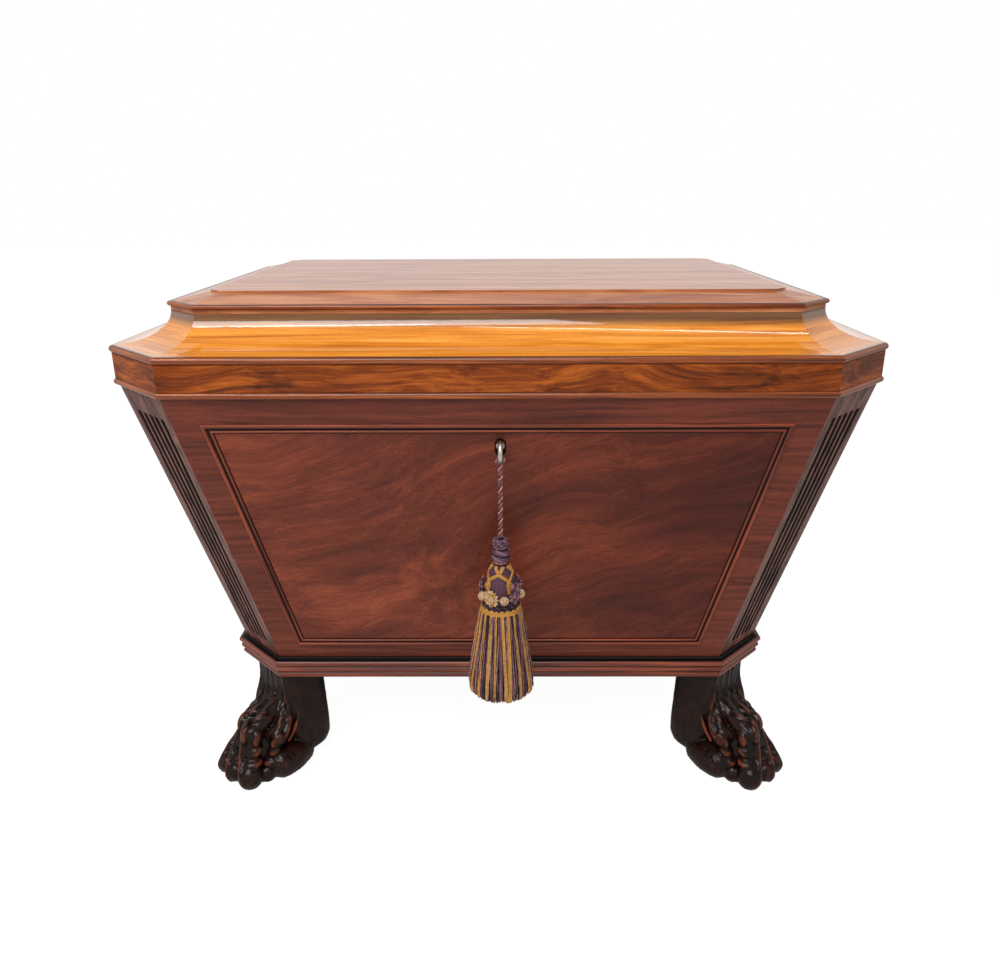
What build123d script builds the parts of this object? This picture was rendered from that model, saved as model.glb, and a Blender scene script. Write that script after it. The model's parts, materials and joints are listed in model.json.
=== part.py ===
from build123d import *
import math
import os

# Mahogany cellarette of sarcophagus form, with a hinged lid, lock, key and tassel
# Frame: X to the right along the front, -Y towards the viewer, Z up
# The origin is on the floor under the centre of the lid. All lengths are millimetres.

# Overall plan, measured over the bead round the lid's rim
overall_width = 800.0
overall_depth = 584.0
rim_cant = 71.0

# Heights, from the floor up
foot_height = 137.0
base_height = 27.2
body_height = 330.8
lid_gap = 0.6
lower_bead_height = 7.0
frieze_height = 26.7
rim_bead_height = 7.7
cove_height = 32.8
neck_height = 3.9
top_bead_height = 5.0
border_rise = 7.3
panel_rise = 2.0

# Insets of each level from the rim's outline
frieze_inset = 2.0
cove_foot_inset = 3.0
cove_run = 57.0
top_bead_overhang = 3.0
bead_bed = 5.0
panel_inset = 98.4
body_top_inset = 5.6
body_top_cant = 67.0
body_bottom_inset = 83.7
body_bottom_cant = 56.0
base_inset = 75.5
base_cant = 61.0

# Board thicknesses
wall = 22.0
bottom_thickness = 18.0
frieze_thickness = 22.0
cove_back = 24.0
cove_floor_width = 46.0
top_board_let_in = 6.0
panel_let_in = 4.0

# Base moulding of three reeds
reed_count = 3
reed_quirk = 3.2
reed_step = 1.8
base_moulding_depth = 14.0

# Fluting on the canted corner posts
flute_count = 5
flute_top_margin = 13.2
flute_bottom_margin = 16.4
flute_top_end = 25.0
flute_bottom_end = 13.5
flute_share = 0.7

# Moulding planted round the field of the front and ends
field_top_margin = 26.7
field_bottom_margin = 18.3
field_side_margin = 28.5
field_moulding_width = 10.0
field_moulding_height = 2.4
field_bead = 3.7
field_bead_round = 1.5
field_ground = 0.6

# Lead lining and bottle divisions
lead = 2.5
lead_clearance = 0.3
lead_lip = 4.0
division_thickness = 9.0
division_height = 205.0
division_clearance = 0.3
cells_across = 5
cells_deep = 3
cell_pitch_across = 114.0
cell_pitch_deep = 116.0

# Carved paw feet
leg_front = 16.0
leg_back = 73.0
leg_half_width = 40.0
leg_front_round = 15.0
leg_back_round = 22.0
leg_flare = 3.0
heel_level = 46.0
heel_round = 22.0
heel_clearance = 8.0
toe_angles = (-62.0, -34.0, 0.0, 34.0, 62.0)
toe_reaches = (52.0, 67.0, 61.0, 67.0, 52.0)
toe_tip_radius = 13.0
toe_tip_sink = 1.0
knuckle_radius = 15.5
knuckle_reach = 33.0
knuckle_height = 69.0
knuckle_swell = 1.2
side_knuckle_drop = 12.0
root_radius = 16.0
root_height = 92.0
root_back = 31.0
root_spread = 23.0
palm_reach = 42.0
palm_waist = 34.0
palm_height = 88.0
pad_radius = 20.0
pad_taper = 1.0
pad_length = 26.0
pad_turn = 5.0
pad_spread = 37.0
tenon_side = 40.0
tenon_height = 20.0
tenon_clearance = 0.3
foot_screw_radius = 3.5
foot_screw_head_radius = 7.0
foot_screw_length = 62.0

# Butt hinges at the back
hinge_length = 75.0
hinge_spacing = 420.0
hinge_knuckles = 5
hinge_knuckle_radius = 4.0
hinge_pin_radius = 2.0
hinge_leaf = 2.2
hinge_leaf_width = 24.0
hinge_offset = 5.5
hinge_clearance = 0.3
running_clearance = 0.05
hinge_screws_each = 3
hinge_screw_line = 13.2
hinge_screw_radius = 2.0
hinge_screw_head_radius = 3.8
hinge_screw_length = 15.0

# Lock, let into the front board, and its link plate under the lid
keyhole_x = 3.0
keyhole_drop = 48.0
lock_width = 76.0
lock_below = 20.0
lock_depth = 12.6
lock_sheet = 1.5
lock_clearance = 0.3
selvedge_length = 96.0
selvedge_width = 10.0
selvedge_thickness = 2.0
bolt_throw = 9.0
bolt_plate = 2.4
bolt_bar_height = 11.0
nib_post = 2.8
nib_rest = 1.2
talon_half = 6.0
talon_grip = 2.0
horn_width = 3.0
staple_spacing = 40.0
staple_thickness = 3.0
staple_width = 6.4
staple_drop = 11.0
staple_wall = 1.7
nib_clearance = 0.5
link_plate_length = 70.0
link_plate_width = 12.0
link_plate_thickness = 2.0
lock_screw_radius = 1.6
lock_screw_head_radius = 3.0
lock_screw_length = 12.0
lock_screw_margin = 5.0

# Keyhole lining and key
escutcheon_width = 11.4
escutcheon_drop = 8.5
escutcheon_wall = 1.1
escutcheon_depth = 3.4
escutcheon_proud = 0.3
escutcheon_fit = 0.02
key_shank_radius = 2.9
key_bore_radius = 1.56
drill_pin_radius = 1.5
key_bit_reach = 9.6
key_bit_thickness = 2.4
key_bit_length = 5.5
key_ward_depth = 2.7
key_ward_width = 1.2
key_ward_margin = 2.1
key_collar_radius = 4.2
key_collar_length = 2.4
bow_standoff = 17.0
bow_radius = 9.0
bow_bar_radius = 2.5

# Cord and tassel, hung from the lowest bar of the key's bow
cord_diameter = 5.5
cord_length = 78.0
knot_height = 12.0
collar_height = 12.5
neck_band_radius = 8.0
neck_band_height = 3.0
head_height = 46.0
rosette_count = 5
rosette_radius = 5.6
rosette_thickness = 2.8
rosette_drop = 33.0
skirt_length = 100.0
soft_gap = 0.3

# Turned outlines of the tassel's parts: a radius, at a share of the part's height below its top
knot_outline = ((5.1, 0.0), (8.1, 0.3), (8.5, 0.7), (8.1, 1.0))
collar_outline = ((9.0, 0.0), (10.0, 0.4), (8.5, 1.0))
head_outline = ((8.0, 0.0), (14.2, 0.2), (16.5, 0.5), (15.2, 1.0))
skirt_outline = ((19.0, 0.0), (25.0, 0.3), (34.5, 0.75), (36.5, 1.0))

# How far a cutter passes the face it cuts, and a joined solid reaches into its neighbour
bite = 1.0

# Levels that follow from the heights
base_top = foot_height + base_height
body_top = base_top + body_height
lid_bottom = body_top + lid_gap
frieze_bottom = lid_bottom + lower_bead_height
frieze_top = frieze_bottom + frieze_height
rim_top = frieze_top + rim_bead_height
cove_top = rim_top + cove_height
neck_top = cove_top + neck_height
top_bead_top = neck_top + top_bead_height
border_top = top_bead_top + border_rise
panel_top = border_top + panel_rise

# A canted corner whose eight sides all move in by d loses this share of d from its leg
mitre_share = 2 - math.sqrt(2)
neck_inset = cove_foot_inset + cove_run
tenon_setback = (leg_front + leg_back) / 2
taper_angle = math.degrees(math.atan2(body_bottom_inset - body_top_inset, body_height))


def octagon(half_x, half_y, cant):
    """Corners of a rectangle with canted corners, anticlockwise from the front right."""
    quarter = [(half_x - cant, -half_y), (half_x, -half_y + cant)]
    right = quarter + [(x, -y) for x, y in reversed(quarter)]
    return right + [(-x, -y) for x, y in right]


def lid_outline(inset):
    cant = rim_cant - mitre_share * inset
    return octagon(overall_width / 2 - inset, overall_depth / 2 - inset, cant)


def base_outline(inset):
    reach = base_inset + inset
    cant = base_cant - mitre_share * inset
    return octagon(overall_width / 2 - reach, overall_depth / 2 - reach, cant)


def body_level(z):
    """Half width, half depth and cant leg of the tapering body at height z."""
    share = (z - base_top) / body_height
    inset = body_bottom_inset + share * (body_top_inset - body_bottom_inset)
    cant = body_bottom_cant + share * (body_top_cant - body_bottom_cant)
    return overall_width / 2 - inset, overall_depth / 2 - inset, cant


def body_inside(z, clearance=0.0):
    """Outline inside the boards and posts, drawn in by a clearance on all eight sides."""
    half_x, half_y, cant = body_level(z)
    cant = cant - wall - mitre_share * clearance
    return octagon(half_x - wall - clearance, half_y - wall - clearance, cant)


def flat(points, z):
    return Plane.XY.offset(z) * make_face(Polyline(*points, close=True))


def slab(points, z_low, z_high):
    return extrude(flat(points, z_low), z_high - z_low)


def tapered(points_low, z_low, points_high, z_high):
    return loft([flat(points_low, z_low), flat(points_high, z_high)], ruled=True)


def box_between(low, high):
    size = [b - a for a, b in zip(low, high)]
    middle = [(a + b) / 2 for a, b in zip(low, high)]
    return Pos(*middle) * Box(*size)


def group(solids):
    return Compound(children=[s for item in solids for s in item.solids()])


def mitred_loop(profile, corners, plane=Plane.XY):
    """One straight length of moulding for each side of a closed outline, mitred where they meet.

    The profile is drawn with X outward from the outline and Y up from its plane.
    """
    count = len(corners)
    points = [Vector(x, y, 0) for x, y in corners]
    ways = [(points[(i + 1) % count] - points[i]).normalized() for i in range(count)]
    outs = [Vector(w.Y, -w.X, 0) for w in ways]
    spare = rim_cant
    lengths = []
    for i in range(count):
        start, end = points[i], points[(i + 1) % count]
        section = Plane(origin=end + ways[i] * spare, x_dir=outs[i], z_dir=-ways[i])
        length = (end - start).length + 2 * spare
        strip = extrude(section * profile, length)
        for corner, other, sign in ((start, outs[i - 1], 1), (end, outs[(i + 1) % count], -1)):
            bisector = (outs[i] + other).normalized()
            across = (ways[i] - bisector * ways[i].dot(bisector)).normalized() * sign
            strip = split(strip, bisect_by=Plane(origin=corner, z_dir=across), keep=Keep.TOP)
        lengths.append(plane.location * strip)
    return lengths


def bead_profile(inner, outer, z_low, z_high):
    """A strip with a rounded nose, standing out to the given reach."""
    radius = (z_high - z_low) / 2
    nose = outer - radius
    outline = Polyline((nose, z_low), (inner, z_low), (inner, z_high), (nose, z_high))
    return make_face(outline + ThreePointArc((nose, z_high), (outer, z_low + radius), (nose, z_low)))


def screw(head_radius, radius, length):
    """Countersunk screw with its head's top at the origin and its shank along -Z."""
    head = Pos(0, 0, -head_radius / 4) * Cylinder(head_radius, head_radius / 2)
    shank = Pos(0, 0, -length / 2) * Cylinder(radius, length)
    slot = Box(2 * head_radius, head_radius / 4, head_radius / 3)
    return head + shank - slot


def face_plane(outward, z):
    """Plane on a tapering face of the body: X along it, Y up the slope, Z outward."""
    half_x, half_y, cant = body_level(z)
    reach = half_x if outward.X else half_y
    tilt = math.radians(taper_angle)
    normal = outward * math.cos(tilt) - Vector(0, 0, math.sin(tilt))
    along = Vector(0, 0, 1).cross(outward)
    return Plane(origin=outward * reach + Vector(0, 0, z), x_dir=along, z_dir=normal)


front_way = Vector(0, -1, 0)
sides = {
    "front": front_way,
    "right": Vector(1, 0, 0),
    "back": Vector(0, 1, 0),
    "left": Vector(-1, 0, 0),
}
quarters = {
    "front_right": (1, -1),
    "back_right": (1, 1),
    "back_left": (-1, 1),
    "front_left": (-1, -1),
}


base_aligned = (Align.CENTER, Align.CENTER, Align.MIN)


# Carcass boards and canted posts

def wall_board(side):
    def plan(z):
        half_x, half_y, cant = body_level(z)
        if side in ("front", "back"):
            sign = -1 if side == "front" else 1
            reach, half = half_y, half_x - cant
            corners = [(-half, sign * reach), (half, sign * reach)]
            inner = [(half, sign * (reach - wall)), (-half, sign * (reach - wall))]
        else:
            sign = -1 if side == "left" else 1
            reach, half = half_x, half_y - cant
            corners = [(sign * reach, -half), (sign * reach, half)]
            inner = [(sign * (reach - wall), half), (sign * (reach - wall), -half)]
        return corners + inner

    return tapered(plan(base_top), base_top, plan(body_top), body_top)


def cant_frame(sign_x, sign_y, z, margin):
    """Ends of the line across a canted corner at height z, drawn in by a margin."""
    half_x, half_y, cant = body_level(z)
    one = Vector(sign_x * (half_x - cant), sign_y * half_y, z)
    other = Vector(sign_x * half_x, sign_y * (half_y - cant), z)
    step = (other - one).normalized() * margin
    return one + step, other - step


def corner_post(sign_x, sign_y):
    def plan(z):
        half_x, half_y, cant = body_level(z)
        points = [(half_x - cant, half_y), (half_x, half_y - cant)]
        points += [(half_x - wall, half_y - cant), (half_x - cant, half_y - wall)]
        return [(sign_x * x, sign_y * y) for x, y in points]

    post = tapered(plan(base_top), base_top, plan(body_top), body_top)
    z_low = base_top + flute_bottom_end
    z_high = body_top - flute_top_end
    low = cant_frame(sign_x, sign_y, z_low, flute_bottom_margin)
    high = cant_frame(sign_x, sign_y, z_high, flute_top_margin)
    for i in range(flute_count):
        share = (i + 0.5) / flute_count
        foot = low[0] + (low[1] - low[0]) * share
        head = high[0] + (high[1] - high[0]) * share
        foot_radius = (low[1] - low[0]).length / flute_count * flute_share / 2
        head_radius = (high[1] - high[0]).length / flute_count * flute_share / 2
        line = head - foot
        gouge = Cone(foot_radius, head_radius, line.length, align=base_aligned)
        post -= Plane(origin=foot, z_dir=line.normalized()).location * gouge
    return post


# The lining's turned lip lies in a shallow rebate round the top of the walls
lip_rebate = slab(body_inside(body_top - lead, -lead_lip), body_top - lead, body_top + bite)
boards = {side: wall_board(side) - lip_rebate for side in sides}
posts = {quarter: corner_post(*signs) - lip_rebate for quarter, signs in quarters.items()}

bottom_top = base_top + bottom_thickness
bottom_board = tapered(body_inside(base_top), base_top, body_inside(bottom_top), bottom_top)
base_board = slab(base_outline(base_moulding_depth), foot_height, base_top)


# Base moulding

def reed_profile():
    """Three reeds stepping back towards the floor under a quirk."""
    pitch = (base_height - reed_quirk) / reed_count
    radius = pitch / 2
    quirk_face = -reed_count * reed_step
    profile = make_face(Polyline((-base_moulding_depth, foot_height), (quirk_face, foot_height),
                                 (quirk_face, base_top), (-base_moulding_depth, base_top), close=True))
    for i in range(reed_count):
        middle = base_top - reed_quirk - radius - i * pitch
        nose = -i * reed_step - radius
        profile += Pos(nose, middle) * Circle(radius)
        body = Rectangle(nose + base_moulding_depth, pitch, align=(Align.MAX, Align.CENTER))
        profile += Pos(nose, middle) * body
    return profile


base_lengths = mitred_loop(reed_profile(), base_outline(0))
side_order = ("right", "back", "left", "front")


def named_lengths(lengths):
    """Eight mitred lengths as four sides and one set of corners."""
    straight = {side_order[i]: lengths[2 * i + 1] for i in range(4)}
    return straight, group(lengths[0::2])


base_straight, base_corners = named_lengths(base_lengths)


# Moulding round the field of the front and ends

def field_profile():
    bead = Rectangle(field_bead, field_moulding_height, align=(Align.MAX, Align.MIN))
    bead = fillet(bead.vertices().group_by(Axis.Y)[-1], field_bead_round)
    ground = Rectangle(field_moulding_width, field_ground, align=(Align.MAX, Align.MIN))
    return ground + bead + Pos(field_bead - field_moulding_width, 0) * bead


def field_moulding(side):
    plane = face_plane(sides[side], base_top)
    slope = 1 / math.cos(math.radians(taper_angle))

    def half_at(z):
        half_x, half_y, cant = body_level(z)
        half = half_y if side in ("left", "right") else half_x
        return half - cant - field_side_margin

    z_low = base_top + field_bottom_margin
    z_high = body_top - field_top_margin
    low = (z_low - base_top) * slope
    high = (z_high - base_top) * slope
    corners = [(-half_at(z_low), low), (half_at(z_low), low)]
    corners += [(half_at(z_high), high), (-half_at(z_high), high)]
    return group(mitred_loop(field_profile(), corners, plane))


# Lead lining: a tub with a lip turned over into the rebate

def lead_lining():
    z_low = bottom_top + lead_clearance
    z_lip = body_top - lead
    outer = tapered(body_inside(z_low, lead_clearance), z_low,
                    body_inside(body_top, lead_clearance), body_top)
    lip = slab(body_inside(z_lip, lead_clearance - lead_lip), z_lip, body_top - lid_gap / 3)
    inside = lead_clearance + lead
    hollow = tapered(body_inside(z_low + lead, inside), z_low + lead,
                     body_inside(body_top + lead, inside), body_top + lead)
    return outer + lip - hollow


# Bottle divisions, half lapped into each other

division_low = bottom_top + lead_clearance + lead + division_clearance
division_high = division_low + division_height
cross_places = [(i - (cells_across - 2) / 2) * cell_pitch_across for i in range(cells_across - 1)]
long_places = [(i - (cells_deep - 2) / 2) * cell_pitch_deep for i in range(cells_deep - 1)]


def division_room():
    inside = lead_clearance + lead + division_clearance
    return tapered(body_inside(division_low, inside), division_low,
                   body_inside(division_high, inside), division_high)


def division(place, crosswise):
    half = division_thickness / 2
    notch_half = half + division_clearance
    middle = (division_low + division_high) / 2
    reach = overall_width
    if crosswise:
        board = box_between((place - half, -reach, division_low), (place + half, reach, division_high))
        notches = [box_between((place - reach, y - notch_half, division_low),
                               (place + reach, y + notch_half, middle)) for y in long_places]
    else:
        board = box_between((-reach, place - half, division_low), (reach, place + half, division_high))
        notches = [box_between((x - notch_half, place - reach, middle - division_clearance),
                               (x + notch_half, place + reach, division_high)) for x in cross_places]
    board = board & division_room()
    for notch in notches:
        board -= notch
    return board


# Carved paw foot, drawn with X along the diagonal it faces and its origin under the base's cant

def leg_section(z, spare):
    """Rounded section of the leg at height z, larger by the spare at its sides and back."""
    length = leg_back - leg_front + spare
    width = 2 * (leg_half_width + spare)
    middle = -leg_back - spare + length / 2
    section = Pos(middle, 0) * Rectangle(length, width)
    back = section.vertices().group_by(Axis.X)[0]
    section = fillet(back, leg_back_round + spare)
    front = section.vertices().group_by(Axis.X)[-1]
    return Plane.XY.offset(z) * fillet(front, leg_front_round)


def leg():
    """Upright leg that flares a little towards the heel and is rounded in under it."""
    heel = extrude(leg_section(heel_clearance, leg_flare), heel_level - heel_clearance)
    heel = fillet(heel.edges().group_by(Axis.Z)[0], heel_round)
    return heel + loft([leg_section(heel_level, leg_flare), leg_section(foot_height, 0)], ruled=True)


def capsule(start, end, start_radius, end_radius):
    """Round-ended tapering form between two points."""
    line = end - start
    length = line.length
    sink = (start_radius - end_radius) / length
    rise = math.sqrt(1 - sink * sink)
    one = (start_radius * rise, start_radius * sink)
    two = (end_radius * rise, length + end_radius * sink)
    down = (math.asin(sink) - math.pi / 2) / 2
    up = (math.asin(sink) + math.pi / 2) / 2
    low = (start_radius * math.cos(down), start_radius * math.sin(down))
    high = (end_radius * math.cos(up), length + end_radius * math.sin(up))
    outline = ThreePointArc((0, -start_radius), low, one) + Line(one, two)
    outline += ThreePointArc(two, high, (0, length + end_radius))
    section = make_face(outline + Line((0, length + end_radius), (0, -start_radius)))
    solid = revolve(Plane.XZ * section, Axis.Z)
    return Plane(origin=start, z_dir=line.normalized()).location * solid


def toe(angle, reach):
    """One toe: a root in the leg's front, a knuckle standing forward and a tip on the floor."""
    turn = math.radians(angle)
    share = math.sin(turn) / math.sin(math.radians(max(toe_angles)))
    way = Vector(math.cos(turn), math.sin(turn), 0)
    drop = side_knuckle_drop * abs(share)
    tip = way * (reach - toe_tip_radius) + Vector(0, 0, toe_tip_radius - toe_tip_sink)
    knuckle = way * knuckle_reach + Vector(0, 0, knuckle_height - drop)
    root = Vector(-root_back, root_spread * share, root_height)
    finger = capsule(knuckle, tip, knuckle_radius, toe_tip_radius)
    return finger + capsule(root, knuckle, root_radius, knuckle_radius - knuckle_swell)


def palm():
    """Turned filling behind the toes, from the sole to the leg's front."""
    bulge = ThreePointArc((palm_waist, knuckle_height), (palm_reach, knuckle_height / 2), (palm_waist, 0))
    outline = Polyline((palm_waist, 0), (0, 0), (0, palm_height), (palm_waist, knuckle_height))
    return revolve(Plane.XZ * make_face(outline + bulge), Axis.Z)


def pad(side):
    """Long pad at one side of the sole, behind the toes."""
    front = Vector(0, side * pad_spread, pad_radius - toe_tip_sink)
    back = front - Vector(pad_length, side * pad_turn, 0)
    return capsule(front, back, pad_radius, pad_radius - pad_taper)


def paw_foot():
    paw = leg() + palm()
    for angle, reach in zip(toe_angles, toe_reaches):
        paw += toe(angle, reach)
    paw += pad(-1)
    paw += pad(1)
    room = 2 * leg_back
    paw &= slab([(-room, -room), (room, -room), (room, room), (-room, room)], 0, foot_height)
    tenon = Box(tenon_side, tenon_side, tenon_height)
    tenon = Pos(-tenon_setback, 0, foot_height + tenon_height / 2) * tenon
    bore = Cylinder(foot_screw_radius + running_clearance, foot_height)
    return paw + tenon - Pos(-tenon_setback, 0, foot_height) * bore


def foot_places():
    """Where each foot's own frame stands: under the middle of the base's canted corner."""
    half_x = overall_width / 2 - base_inset - base_cant / 2
    half_y = overall_depth / 2 - base_inset - base_cant / 2
    for name, (sign_x, sign_y) in quarters.items():
        turn = math.degrees(math.atan2(sign_y, sign_x))
        yield name, Pos(sign_x * half_x, sign_y * half_y, 0) * Rot(0, 0, turn)


def foot_screw():
    solid = screw(foot_screw_head_radius, foot_screw_radius, foot_screw_length)
    return Pos(-tenon_setback, 0, bottom_top) * solid


foot_model = paw_foot()
feet = {}
foot_screws = []
for name, place in foot_places():
    feet[name] = place * foot_model
    foot_screws.append(place * foot_screw())
    slack = 2 * tenon_clearance
    room = Box(tenon_side + slack, tenon_side + slack, 2 * tenon_height + slack)
    mortise = Pos(-tenon_setback, 0, foot_height) * room
    shaft = Pos(-tenon_setback, 0, base_top) * Cylinder(foot_screw_radius + running_clearance, foot_height)
    seat = Cylinder(foot_screw_head_radius + tenon_clearance, foot_screw_head_radius)
    seat = Pos(-tenon_setback, 0, bottom_top) * seat
    base_board -= place * (mortise + shaft)
    bottom_board -= place * (shaft + seat)


# Lid mouldings, from the lower bead to the top bead

def lid_lengths(profile):
    return mitred_loop(profile, lid_outline(0))


def frieze_profile():
    """Rail of the lid, rebated at its foot for the lower bead."""
    inner = -frieze_inset - frieze_thickness
    return make_face(Polyline((-bead_bed, lid_bottom), (inner, lid_bottom),
                              (inner, rim_top), (-bead_bed, rim_top),
                              (-bead_bed, frieze_top), (-frieze_inset, frieze_top),
                              (-frieze_inset, frieze_bottom), (-bead_bed, frieze_bottom), close=True))


def cove_profile():
    """Cavetto: a quarter of an ellipse, upright at its head and level at its foot."""
    head = (-neck_inset, cove_top)
    foot = (-cove_foot_inset, rim_top)
    heel = (-cove_foot_inset - cove_floor_width, rim_top)
    back = -neck_inset - cove_back
    hollow = EllipticalCenterArc((-cove_foot_inset, cove_top), cove_run, cove_height, 180, arc_size=90)
    ground = Polyline(foot, heel, (back, cove_top - cove_back / 2), (back, cove_top), head)
    return make_face(hollow + ground)


frieze_straight, frieze_corners = named_lengths(lid_lengths(frieze_profile()))
cove_straight, cove_corners = named_lengths(lid_lengths(cove_profile()))
top_bead_reach = top_bead_overhang - neck_inset
top_bead_seat = top_bead_reach - bead_bed
lower_beads = lid_lengths(bead_profile(-bead_bed, 0, lid_bottom, frieze_bottom))
rim_beads = lid_lengths(bead_profile(-bead_bed, 0, frieze_top, rim_top))
top_beads = lid_lengths(bead_profile(top_bead_seat, top_bead_reach, neck_top, top_bead_top))


# Top board with its rising border, and the raised panel let into it

def top_board():
    neck = slab(lid_outline(neck_inset), cove_top, neck_top)
    core = slab(lid_outline(-top_bead_seat), neck_top, top_bead_top)
    rise = tapered(lid_outline(-top_bead_seat), top_bead_top, lid_outline(panel_inset), border_top)
    inside = neck_inset + cove_back + lead_clearance
    under = slab(lid_outline(inside), cove_top - top_board_let_in, cove_top)
    bed = slab(lid_outline(panel_inset), border_top - panel_let_in, border_top)
    return under + neck + core + rise - bed


raised_panel = slab(lid_outline(panel_inset), border_top - panel_let_in, panel_top)


# Butt hinges

hinge_y = overall_depth / 2 + hinge_offset
hinge_z = body_top + lid_gap / 2
hinge_places = [-hinge_spacing / 2, hinge_spacing / 2]
knuckle_length = hinge_length / hinge_knuckles


def hinge_leaf_solid(middle, upper):
    """A leaf with its share of the knuckles, bored for the pin."""
    low = lid_bottom if upper else body_top - hinge_leaf
    high = low + hinge_leaf
    edge = hinge_y - hinge_knuckle_radius - hinge_clearance
    start = middle - hinge_length / 2
    leaf = box_between((start, edge - hinge_leaf_width, low), (start + hinge_length, edge, high))
    for i in range(1 if upper else 0, hinge_knuckles, 2):
        left = start + i * knuckle_length + hinge_clearance / 2
        right = left + knuckle_length - hinge_clearance
        leaf += box_between((left, edge - bite, low), (right, hinge_y, high))
        barrel = Cylinder(hinge_knuckle_radius, right - left, rotation=(0, 90, 0))
        leaf += Pos((left + right) / 2, hinge_y, hinge_z) * barrel
    bore = Cylinder(hinge_pin_radius + running_clearance, hinge_length + bite, rotation=(0, 90, 0))
    leaf -= Pos(middle, hinge_y, hinge_z) * bore
    return leaf


def hinge_screw_places(middle):
    pitch = hinge_length / hinge_screws_each
    y = hinge_y - hinge_knuckle_radius - hinge_clearance - hinge_screw_line
    return [(middle + (i - (hinge_screws_each - 1) / 2) * pitch, y) for i in range(hinge_screws_each)]


def at_hinge_screws(solid, upper):
    """A copy of a screw or its hole at every hinge screw's place, upside down in the lid."""
    turn = Rot(180, 0, 0) if upper else Rot(0, 0, 0)
    z = lid_bottom if upper else body_top
    places = [place for middle in hinge_places for place in hinge_screw_places(middle)]
    return [Pos(x, y, z) * turn * solid for x, y in places]


def leaf_recess(upper):
    """Cutters for the two housings that a board has for the leaves."""
    low = lid_bottom - bite if upper else body_top - hinge_leaf
    high = lid_bottom + hinge_leaf if upper else body_top + bite
    back = hinge_y - hinge_knuckle_radius - 2 * hinge_clearance - hinge_leaf_width
    half = (hinge_length + hinge_clearance) / 2
    return [box_between((middle - half, back, low), (middle + half, hinge_y, high))
            for middle in hinge_places]


def cut_all(solid, cutters):
    for cutter in cutters:
        solid -= cutter
    return solid


def screw_hole(head_radius, radius, length):
    """Hole for a countersunk screw, without the slot in its head."""
    head = Pos(0, 0, -head_radius / 4) * Cylinder(head_radius + running_clearance, head_radius / 2)
    return head + Pos(0, 0, -length / 2) * Cylinder(radius + running_clearance, length + running_clearance)


hinge_screw = screw(hinge_screw_head_radius, hinge_screw_radius, hinge_screw_length)
hinge_screw_hole = screw_hole(hinge_screw_head_radius, hinge_screw_radius, hinge_screw_length)
lower_holes = at_hinge_screws(hinge_screw_hole, False)
upper_holes = at_hinge_screws(hinge_screw_hole, True)
hinge_lower = group([cut_all(hinge_leaf_solid(m, False), lower_holes) for m in hinge_places])
hinge_upper = group([cut_all(hinge_leaf_solid(m, True), upper_holes) for m in hinge_places])
hinge_pin = Cylinder(hinge_pin_radius, hinge_length, rotation=(0, 90, 0))
hinge_pins = group([Pos(m, hinge_y, hinge_z) * hinge_pin for m in hinge_places])
boards["back"] = cut_all(boards["back"], leaf_recess(False) + lower_holes)
frieze_straight["back"] = cut_all(frieze_straight["back"], leaf_recess(True) + upper_holes)
lower_beads = [cut_all(bead, leaf_recess(True)) for bead in lower_beads]


# Lock: case, cap, bolt, selvedge and the link plate under the lid

keyhole_z = body_top - keyhole_drop
front_plane = face_plane(front_way, keyhole_z)
keyhole_place = front_plane.origin + Vector(keyhole_x, 0, 0)
lock_plane = Plane(origin=keyhole_place, x_dir=front_plane.x_dir, z_dir=front_plane.z_dir)
slope_up = lock_plane.y_dir
slope_rise = keyhole_drop / slope_up.Z
lock_skin = (wall * math.cos(math.radians(taper_angle)) - lock_depth) / 2
lock_high = slope_rise + lock_depth
selvedge_bottom = body_top - selvedge_thickness


def in_lock(shape):
    """Place a shape drawn in the lock's own frame: X along the front, Y up the slope, Z outward."""
    return lock_plane.location * shape


def below(z):
    reach = overall_width
    return box_between((-reach, -reach, -reach), (reach, reach, z))


def lock_box(spare):
    """Outer block of the lock, or of its mortise when grown by a spare."""
    half = lock_width / 2 + spare
    return in_lock(box_between((-half, -lock_below - spare, -lock_skin - lock_depth - spare),
                               (half, lock_high, spare - lock_skin)))


def keyhole(spare, z_low, z_high):
    """Upright slot with round ends that the key's bit passes through."""
    radius = escutcheon_width / 2 + spare
    slot = Cylinder(radius, z_high - z_low) + Pos(0, -escutcheon_drop, 0) * Cylinder(radius, z_high - z_low)
    slot += Pos(0, -escutcheon_drop / 2, 0) * Box(2 * radius, escutcheon_drop, z_high - z_low)
    return in_lock(Pos(0, 0, (z_low + z_high) / 2) * slot)


cap_back = -lock_skin - lock_depth
cap_front = cap_back + lock_sheet
case_front = -lock_skin
hole_spare = -escutcheon_wall


def lock_case():
    """Brass box open towards the inside of the case, pierced by the keyhole."""
    half = lock_width / 2 - lock_sheet
    room = in_lock(box_between((-half, lock_sheet - lock_below, cap_back - bite),
                               (half, lock_high + bite, case_front - lock_sheet)))
    shell = (lock_box(0) - room) & below(selvedge_bottom)
    return shell - keyhole(hole_spare, -wall, bite)


def lock_cap():
    """Plate that closes the box and carries the pin that the key's bore turns on."""
    half = lock_width / 2 - lock_sheet
    plate = in_lock(box_between((-half, lock_sheet - lock_below, cap_back), (half, lock_high, cap_front)))
    plate = plate & below(selvedge_bottom)
    pin_length = bolt_plate + key_bit_length
    pin = in_lock(Pos(0, 0, cap_front + pin_length / 2) * Cylinder(drill_pin_radius, pin_length))
    return plate + pin


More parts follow.
